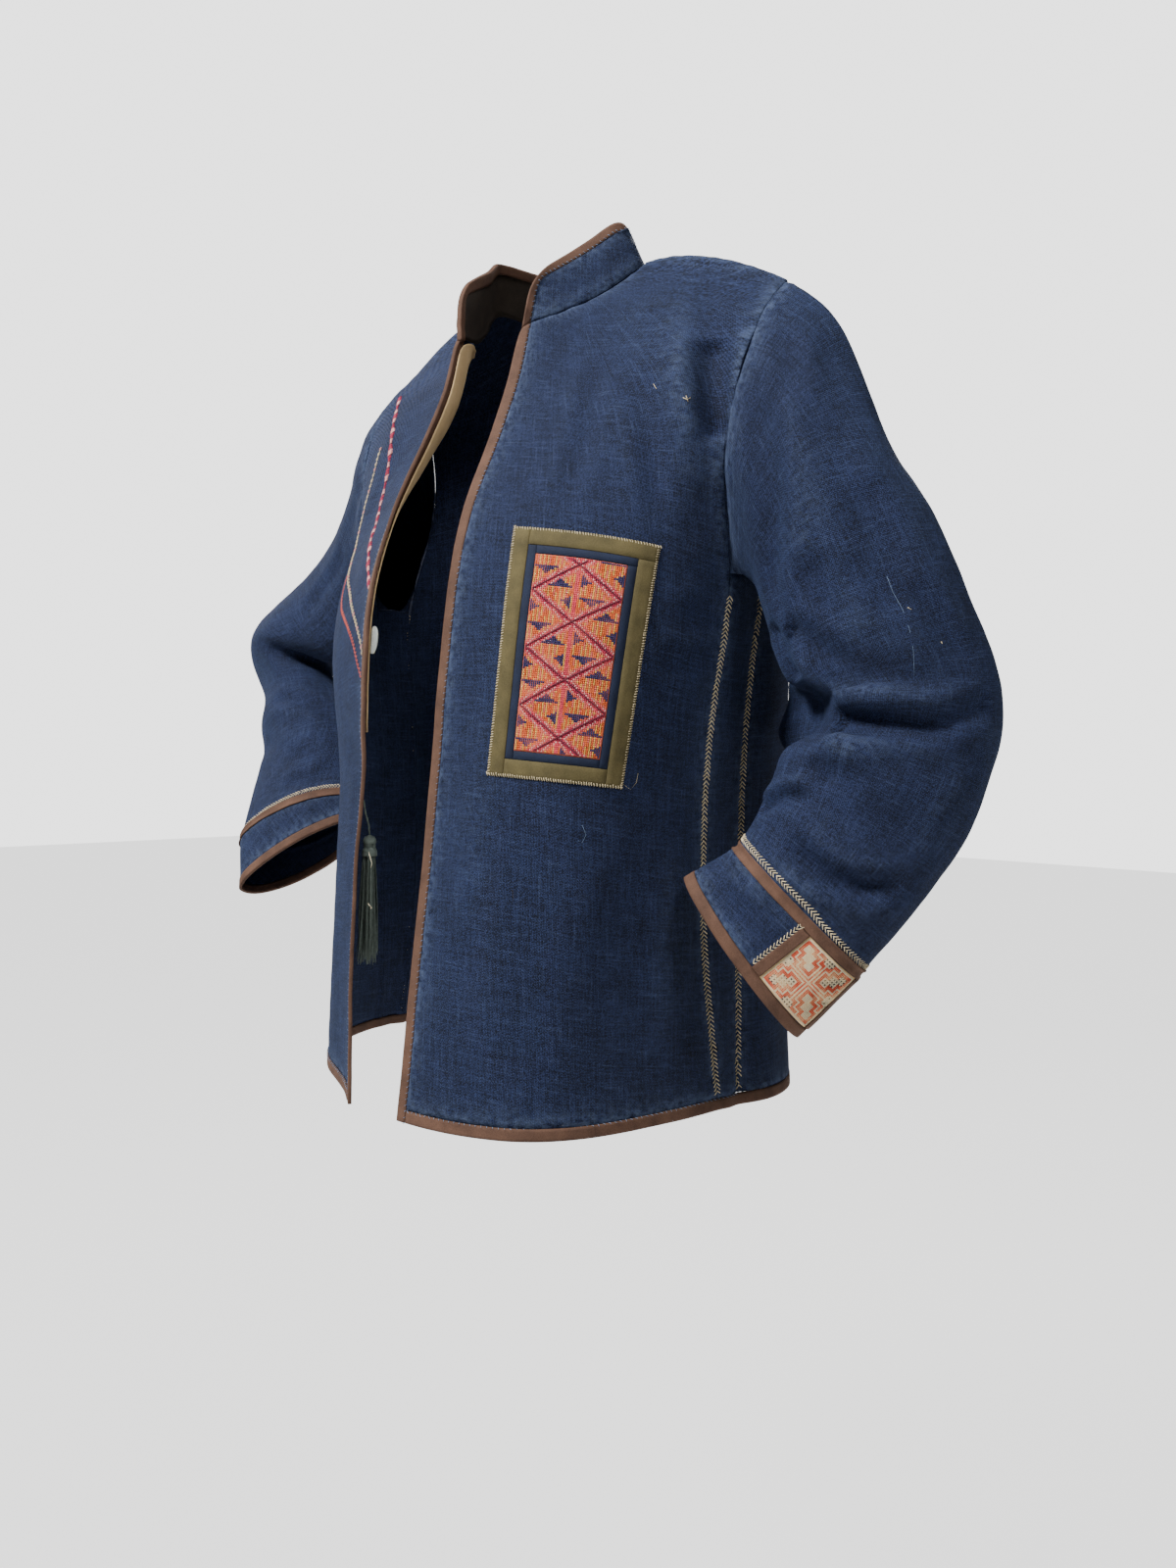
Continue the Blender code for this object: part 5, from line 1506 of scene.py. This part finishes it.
def chest_line(spots):
    """A line on the front, moved in from its edge wherever the cloth turns out of sight."""
    line = []
    for (x1, y1), (x2, y2) in zip(spots[:-1], spots[1:]):
        for k in range(4):
            x, y = x1 + (x2 - x1) * k / 4, y1 + (y2 - y1) * k / 4
            for slide in range(SLIDE):
                hit, normal = right_chest.seen(x + slide, y)
                if hit is not None and abs(normal.dot(sight(x + slide, y))) > GRAZING:
                    line.append(hit)
                    break
    return smoothed(line, 6)


def across_line(spot, ahead):
    """The outer face nearest a spot, its normal, and the way across the line there."""
    outward = Vector((spot.x, spot.y, 0)).normalized()
    spot, up = right_chest.touch(spot + outward * (4 * MM))
    return spot, up, ahead.cross(up).normalized()


SATIN = [(411, 404), (404, 430), (401, 470), (393, 500), (385, 530), (378, 560), (376, 580),
         (378, 606)]
COUCHED = [(391, 455), (381, 490), (367, 530), (360, 560), (356, 590), (360, 620), (368, 650),
           (373, 676)]
ZIGZAG = [(343, 585), (346, 610), (352, 630), (360, 650), (365, 678), (369, 694)]
chest_work = Needle("right_chest_embroidery")
for count, (spot, ahead) in enumerate(along(chest_line(SATIN), 0.85 * MM)):
    spot, up, side = across_line(spot, ahead)
    reach = (2.0 + 0.9 * math.sin(count * 0.21)) * MM * hand.uniform(0.75, 1.15)
    block = count % 17
    colour = ("light_pink" if block > 9 else "burgundy" if block in (0, 1, 5, 9)
              else "deep_pink")
    chest_work.stitch(spot - side * reach, spot + side * reach + ahead * 0.5 * MM, up,
                      0.42 * MM, colour, 1.3)
couched = chest_line(COUCHED)
lifted = [across_line(spot, ahead)[:2] for spot, ahead in along(couched, 2.5 * MM)]
chest_work.tube([p + up * 0.35 * MM for p, up in lifted], [0.24 * MM] * len(lifted), "cream")
for count, (spot, ahead) in enumerate(along(couched, 5.2 * MM, 2 * MM)):
    spot, up, side = across_line(spot, ahead)
    for turn in (-1, 1):
        chest_work.stitch(spot - side * 1.6 * MM - ahead * (turn * 1.1 * MM),
                          spot + side * 1.6 * MM + ahead * (turn * 1.1 * MM), up, 0.4 * MM,
                          "cream" if count % 4 else "light_pink", 1.6)
turn = 1
for spot, ahead in along(chest_line(ZIGZAG), 2.1 * MM):
    spot, up, side = across_line(spot, ahead)
    chest_work.stitch(spot - side * (turn * 1.7 * MM), spot + side * (turn * 1.7 * MM)
                      + ahead * 1.9 * MM, up, 0.3 * MM, "salmon", 1.2)
    turn = -turn
chest_work.sewn("embroidered_cotton")

# %% [markdown]
# ## Press studs
#
# Two clear plastic press studs close the front, sewn behind its edges. Each could be built up
# from cylinders, but a real one is round all over, so it is turned as on a lathe: a profile of
# radii and heights swept round, with a bead at the rim and a bright ring in the middle. Thread
# holds it down at four sides.

# %% Mould the plastic and the ring
clear, start, shader = new_finish("clear_plastic", Transmission_Weight=0.65, IOR=1.46,
                                  Base_Color=dye(214, 220, 218))
place = start.make("ShaderNodeTexCoord", out="Object")
feed(start, shader, roughness=place.noise(600, 600, 600, detail=3) * 0.22 + 0.08,
     height=place.noise(900, 900, 900), strength=0.1, deep=0.0001)
steel, start, shader = new_finish("stud_ring", Metallic=1.0)
place = start.make("ShaderNodeTexCoord", out="Object")
scratches = place.noise(2600, 300, 300, detail=4)
feed(start, shader, scratches.ramp((0.2, dye(150, 150, 146)), (0.8, dye(210, 208, 200))),
     scratches * 0.3 + 0.15)
print("stud finishes:", clear.name, steel.name)


# %% Turn the press studs
def turned(name, profile, foot, up, finish, sides=40):
    """A solid of revolution: (radius, height) pairs in millimetres, from axis to axis."""
    side = up.orthogonal().normalized()
    other = up.cross(side)
    corners = [foot + up * (height * MM) + (side * math.cos(turn) + other * math.sin(turn))
               * (radius * MM) for radius, height in profile for turn in turns(sides)]
    return wear(new_piece(name, corners, hoops(len(profile), sides)), finish)


stud_threads = Needle("stud_threads")
for side in ("left", "right"):
    node = "press_stud_" + side
    solid = solid_places(node)
    middle = Vector(solid.mean(0))
    offsets = solid - solid.mean(0)
    # The thinnest way through the solid is its axis, which points into the jacket.
    flat = Vector(np.linalg.svd(offsets, full_matrices=False)[2][2])
    if flat.dot(hemp_facing(middle)) > 0:
        flat = -flat
    radius = max(np.linalg.norm(offsets, axis=1)) / MM * 0.99
    thick = float(np.ptp(offsets @ np.array(flat))) / MM
    foot = middle - flat * (thick / 2 * MM)
    disc = turned("stud_" + side, [(radius - 0.5, 0.0), (radius, 0.35), (radius, 1.0),
                                   (radius - 0.5, 1.35), (radius - 1.3, 1.0), (4.6, 0.95),
                                   (4.2, thick), (3.3, thick), (3.0, 1.2), (0.3, 1.1)],
                  foot, flat, clear)
    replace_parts(disc, node)
    turned("stud_ring_" + side, [(3.15, 1.15), (4.1, 1.15), (4.1, thick + 0.12),
                                 (3.15, thick + 0.12)], foot, flat, steel, 32)
    around = flat.orthogonal().normalized()
    for n in range(4):
        away = around.copy()
        away.rotate(Matrix.Rotation(math.pi / 2 * n + 0.4, 3, flat).to_quaternion())
        for shift in (-0.35, 0.1, 0.5):
            slide = away.cross(flat) * (shift * MM)
            a = foot + away * (4.9 * MM) + flat * (1.0 * MM) + slide
            b = foot + away * ((radius + 0.3) * MM) + flat * (0.5 * MM) + slide * 1.4
            stud_threads.stitch(a, b, flat, 0.16 * MM, "bone", 2.2)
stud_threads.sewn("clear_plastic")

# %% [markdown]
# ## The tassel
#
# A grey-green tassel hangs inside the right edge: a short cord, a head bound round with yarn,
# and a skirt of fine strands that bend a little and end at different heights. Hair would do for
# the skirt, but tubes keep their shape in any program. Two pale loops of thread have caught in it.

# %% Tie the tassel
THREADS["grey"] = thread_finish("grey_yarn", dye(104, 116, 110), 0.3, 0.4)
SKIRT_LONG, HEAD_LONG, STRANDS = 0.094, 0.011, 170
skirt = random.Random(11)
solid = solid_places("tassel")
low = solid[:, 2].min()
ends = solid[solid[:, 2] < low + 0.008]
head = Vector((ends[:, 0].mean(), ends[:, 1].mean(), low + SKIRT_LONG))
root = head - Vector((0.001, 0.005, -0.025))
tassel = Needle("grey_tassel")
cord = [head + Vector((0, 0, -0.002)), head.lerp(root, 0.3) + Vector((0.0006, 0.0003, 0)),
        head.lerp(root, 0.65) + Vector((-0.0005, 0, 0)), root]
cord = [*(a.lerp(b, share) for a, b in zip(cord, cord[1:]) for share in (0, 0.5)), root]
for turn in (0, 2.1, 4.2):
    ply = [p + Vector((math.cos(turn + k * 1.7), math.sin(turn + k * 1.7), 0)) * 0.35 * MM
           for k, p in enumerate(cord)]
    tassel.tube(ply, [0.45 * MM] * len(ply), "grey")
# The bound head: radii and heights in millimetres.
knob = [(0.6, 0.0), (3.4, -1.2), (4.6, -3.2), (4.8, -5.4), (3.6, -7.0), (3.9, -8.2),
        (5.2, -11.0), (5.6, -15.0)]
tassel.tube([head + Vector((0, 0, height * MM)) for _, height in knob],
            [radius * MM for radius, _ in knob], "grey", 14)
for k in range(5):
    height = (-6.4 - 0.55 * k) * MM
    ring = [head + Vector((math.cos(turn) * 4.1 * MM, math.sin(turn) * 4.1 * MM, height))
            for turn in (*turns(14), 2 * math.pi)]
    tassel.tube(ring, [0.35 * MM] * len(ring), "grey", 4)
for n in range(STRANDS):
    turn, inner = skirt.uniform(0, 2 * math.pi), math.sqrt(skirt.random())
    away = Vector((math.cos(turn), math.sin(turn), 0))
    long = (SKIRT_LONG - HEAD_LONG) - skirt.uniform(0, 0.012) * (1 if n % 4 else 1.6)
    flare = (4.2 + 4.2 * inner + skirt.uniform(-0.8, 0.8)) * MM
    sway = Vector((skirt.uniform(-1, 1), skirt.uniform(-1, 1), 0)) * 1.3 * MM
    strand = []
    for share in (k / 7 for k in range(8)):
        spread = inner * 4.6 * MM * (1 - share) + inner * flare * share
        strand.append(head + Vector((0, 0, -HEAD_LONG - long * share)) + away * spread
                      + sway * math.sin(share * math.pi * skirt.uniform(0.9, 1.2)))
    tassel.tube(strand, [0.34 * MM] * 7 + [0.2 * MM], "grey", 3)
for height, reach, droop in ((-0.011, 0.011, 0.012), (-0.048, 0.013, 0.004)):
    loop = [head + Vector((0.002, -0.003, height)),
            head + Vector((reach * 0.6, -reach * 0.5, height - droop * 0.2)),
            head + Vector((reach, -reach * 0.6, height - droop * 0.7)),
            head + Vector((reach * 0.5, -reach * 0.3, height - droop))]
    tassel.tube(loop, [0.22 * MM] * 4, "bone", 4)
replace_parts(tassel.sewn("grey_yarn"), "tassel")

# %% [markdown]
# ## Loose threads
#
# Old handwork sheds: a thin end of thread lies on the sleeve, another by the corner of the
# patch, and a few flecks of fluff have caught in the hemp. Pale marks in the finish would turn
# with the cloth but never stand off it. So they are thin tubes, lifted by little more than
# their own thickness.

# %% Drop the loose threads
LOOSE = [
    # cloth, line of places, radius in millimetres, colour
    ("sleeve_left", [(905, 588), (911, 604), (921, 622), (928, 642), (932, 664), (933, 690)],
     0.13, "pale_blue"),
    ("sleeve_left", [(926, 620), (930, 622)], 0.2, "cream"),
    ("sleeve_left", [(960, 655), (961, 657)], 0.35, "cream"),
    ("front_left", [(636, 800), (643, 806), (649, 799), (651, 789)], 0.12, "cream"),
    ("front_left", [(594, 842), (598, 852), (594, 860), (590, 858)], 0.12, "pale_blue"),
    ("front_left", [(697, 406), (701, 408), (704, 406)], 0.34, "cream"),
    ("front_left", [(700, 404), (702, 410)], 0.26, "cream"),
    ("front_left", [(667, 392), (670, 397)], 0.22, "cream"),
    ("front_left", [(523, 908), (524, 920)], 0.16, "ink"),
]
fluff = Needle("loose_threads")
for node, spots, radius, colour in LOOSE:
    ground = Surface(panels[node].piece)
    met = [ground.seen(x, y) for x, y in spots]
    line = [spot + normal * (radius * 1.1 * MM) for spot, normal in met if spot is not None]
    if len(line) > 1:
        fluff.tube(line, [radius * MM] * len(line), colour, 4)
fluff.sewn("cream_cotton")

# %% [markdown]
# ## What the cloth was cut to
#
# Each piece of the jacket is a flat cut of cloth before it is sewn and worn: its width and
# length in metres, and its area where the cut is not a rectangle. A tube, such as a sleeve, is
# given as its cloth all round. A real pattern would be measured on the table. There is none
# here, so each area in the table is one side of the finished piece, measured with its creases
# and rounded, and the widths and lengths are chosen to suit it. A cloth check on these rows finds
# what they came from: it shows that nothing has changed since, not that the cut is right.
# The narrow tapes, the patch's strips and the stitches lie on these pieces.

SHEETS = [
    # piece, (width, length), area or None, held, what it hangs from or lies on, pieces on it
    ("hemp_back", (0.52, 0.63), 0.298, "hung", ("collar",), ("trim_binding_hem",)),
    ("hemp_front_left", (0.23, 0.62), 0.124, "hung", ("hemp_back",),
     ("trim_binding_front_left",)),
    ("hemp_front_right", (0.22, 0.62), 0.119, "hung", ("hemp_back",),
     ("trim_binding_front_right", "right_chest_embroidery")),
    ("hemp_side_panel_left", (0.043, 0.365), 0.0139, "hung", ("hemp_back",), ()),
    ("hemp_side_panel_right", (0.043, 0.365), 0.0139, "hung", ("hemp_back",), ()),
    ("hemp_sleeve_left", (0.40, 0.45), 0.135, "hung", ("hemp_back",), ()),
    ("hemp_sleeve_right", (0.40, 0.47), 0.145, "hung", ("hemp_back",), ()),
    ("hemp_cuff_left", (0.27, 0.050), 0.0118, "hung", ("hemp_sleeve_left",),
     ("trim_cuff_tape_left", "trim_binding_cuff_left", "trim_patch_tape_high_left",
      "trim_patch_tape_low_left")),
    ("hemp_cuff_right", (0.25, 0.042), 0.0086, "hung", ("hemp_sleeve_right",),
     ("trim_cuff_tape_right", "trim_binding_cuff_right", "trim_patch_tape_high_right",
      "trim_patch_tape_low_right")),
    ("hemp_collar", (0.39, 0.043), 0.0141, "stretched", ("hemp_back",),
     ("trim_binding_collar",)),
    ("trim_collar_facing", (0.38, 0.041), 0.0139, "stretched", ("hemp_collar",), ()),
    ("trim_facing_right", (0.037, 0.345), None, "laid", ("hemp_front_right",), ()),
    ("patch_canvas", (0.058, 0.137), None, "laid", ("hemp_front_left",),
     ("window_embroidery", "patch_overcast", *(f"patch_{part}_strip_{k}"
                                               for part in ("frame", "border")
                                               for k in range(4)))),
    ("cuff_square_left", (0.046, 0.046), None, "laid", ("hemp_cuff_left",), ()),
    ("cuff_square_right", (0.038, 0.040), None, "laid", ("hemp_cuff_right",), ()),
]
total = sum(area or flat[0] * flat[1] for _, flat, area, *_ in SHEETS)
print("sheets:", len(SHEETS), "with", round(total, 2), "square metres of cloth")

# %% [markdown]
# ## Studio
#
# A pale floor lies well below the hem. A soft lamp stands high in front, a second lights the
# left side, and two weak ones behind keep the back from sinking into black. An even grey world
# would be simpler, but its light flattens every crease. So the world and the floor are bright
# where the camera looks at them, and give the jacket only a little light.

# %% Lay the floor
FLOOR_HALF, FLOOR_LOW, WHITE = 12, -1.45, (1.0, 1.0, 1.0, 1.0)


def for_camera(tree, plain, bright, share=1.0):
    """The bright shader where the camera looks, and the plain one for all other light."""
    seen = Wire(tree).make("ShaderNodeLightPath", out="Is Camera Ray") * share
    return seen.make("ShaderNodeMixShader", {}, {0: seen, 1: plain, 2: bright})


floor = new_piece("studio_floor", [(x * FLOOR_HALF, y * FLOOR_HALF, FLOOR_LOW)
                                   for x, y in ((-1, -1), (1, -1), (1, 1), (-1, 1))],
                  [(0, 1, 2, 3)])
paper, start, shader = new_finish("studio_paper")
place = start.make("ShaderNodeTexCoord", out="Object")
shades = place.noise(2, 2, 2).ramp((0.3, dye(236, 236, 235)), (0.7, dye(241, 241, 240)))
feed(start, shader, shades, place.noise(30, 30, 30) * 0.1 + 0.8)
glow = start.make("ShaderNodeEmission", {}, {"Color": WHITE, "Strength": 2.2})
lit = for_camera(paper.node_tree, Wire(paper.node_tree, shader.outputs[0]), glow, 0.8)
paper.node_tree.links.new(
    lit.socket, paper.node_tree.nodes["Material Output"].inputs["Surface"])
floor.data.materials.append(paper)
print("floor at", FLOOR_LOW, "m")

# %% Light the studio
world = bpy.data.worlds.new("studio")
world.use_nodes = True
dim = world.node_tree.nodes["Background"]
dim.inputs["Color"].default_value = WHITE
dim.inputs["Strength"].default_value = 0.13
air = Wire(world.node_tree)
backdrop = air.make("ShaderNodeBackground", {}, {"Color": WHITE, "Strength": 2.6})
both = for_camera(world.node_tree, Wire(world.node_tree, dim.outputs[0]), backdrop)
world.node_tree.links.new(both.socket, world.node_tree.nodes["World Output"].inputs["Surface"])
bpy.context.scene.world = world
CHEST, LAMP_COLOUR = Vector((0.02, -0.05, -0.25)), (1.0, 0.985, 0.96)
LAMPS = [
    # name, place, size in metres, watts
    ("key_lamp", (-0.5, -1.95, 1.8), 0.6, 166),
    ("side_lamp", (1.9, -0.7, 2.4), 0.8, 58),
    ("back_lamp", (-1.2, 2.3, 1.5), 1.2, 85),
    ("back_side_lamp", (-2.5, 0.5, 1.0), 1.2, 24),
]
for name, place, size, watts in LAMPS:
    data = bpy.data.lights.new(name, "AREA")
    data.size, data.energy, data.color = size, watts, LAMP_COLOUR
    light = in_scene(name, data)
    light.location = place
    light.rotation_mode = "QUATERNION"
    light.rotation_quaternion = (CHEST - Vector(place)).to_track_quat("-Z", "Y")
print("lamps:", ", ".join(name for name, *_ in LAMPS))
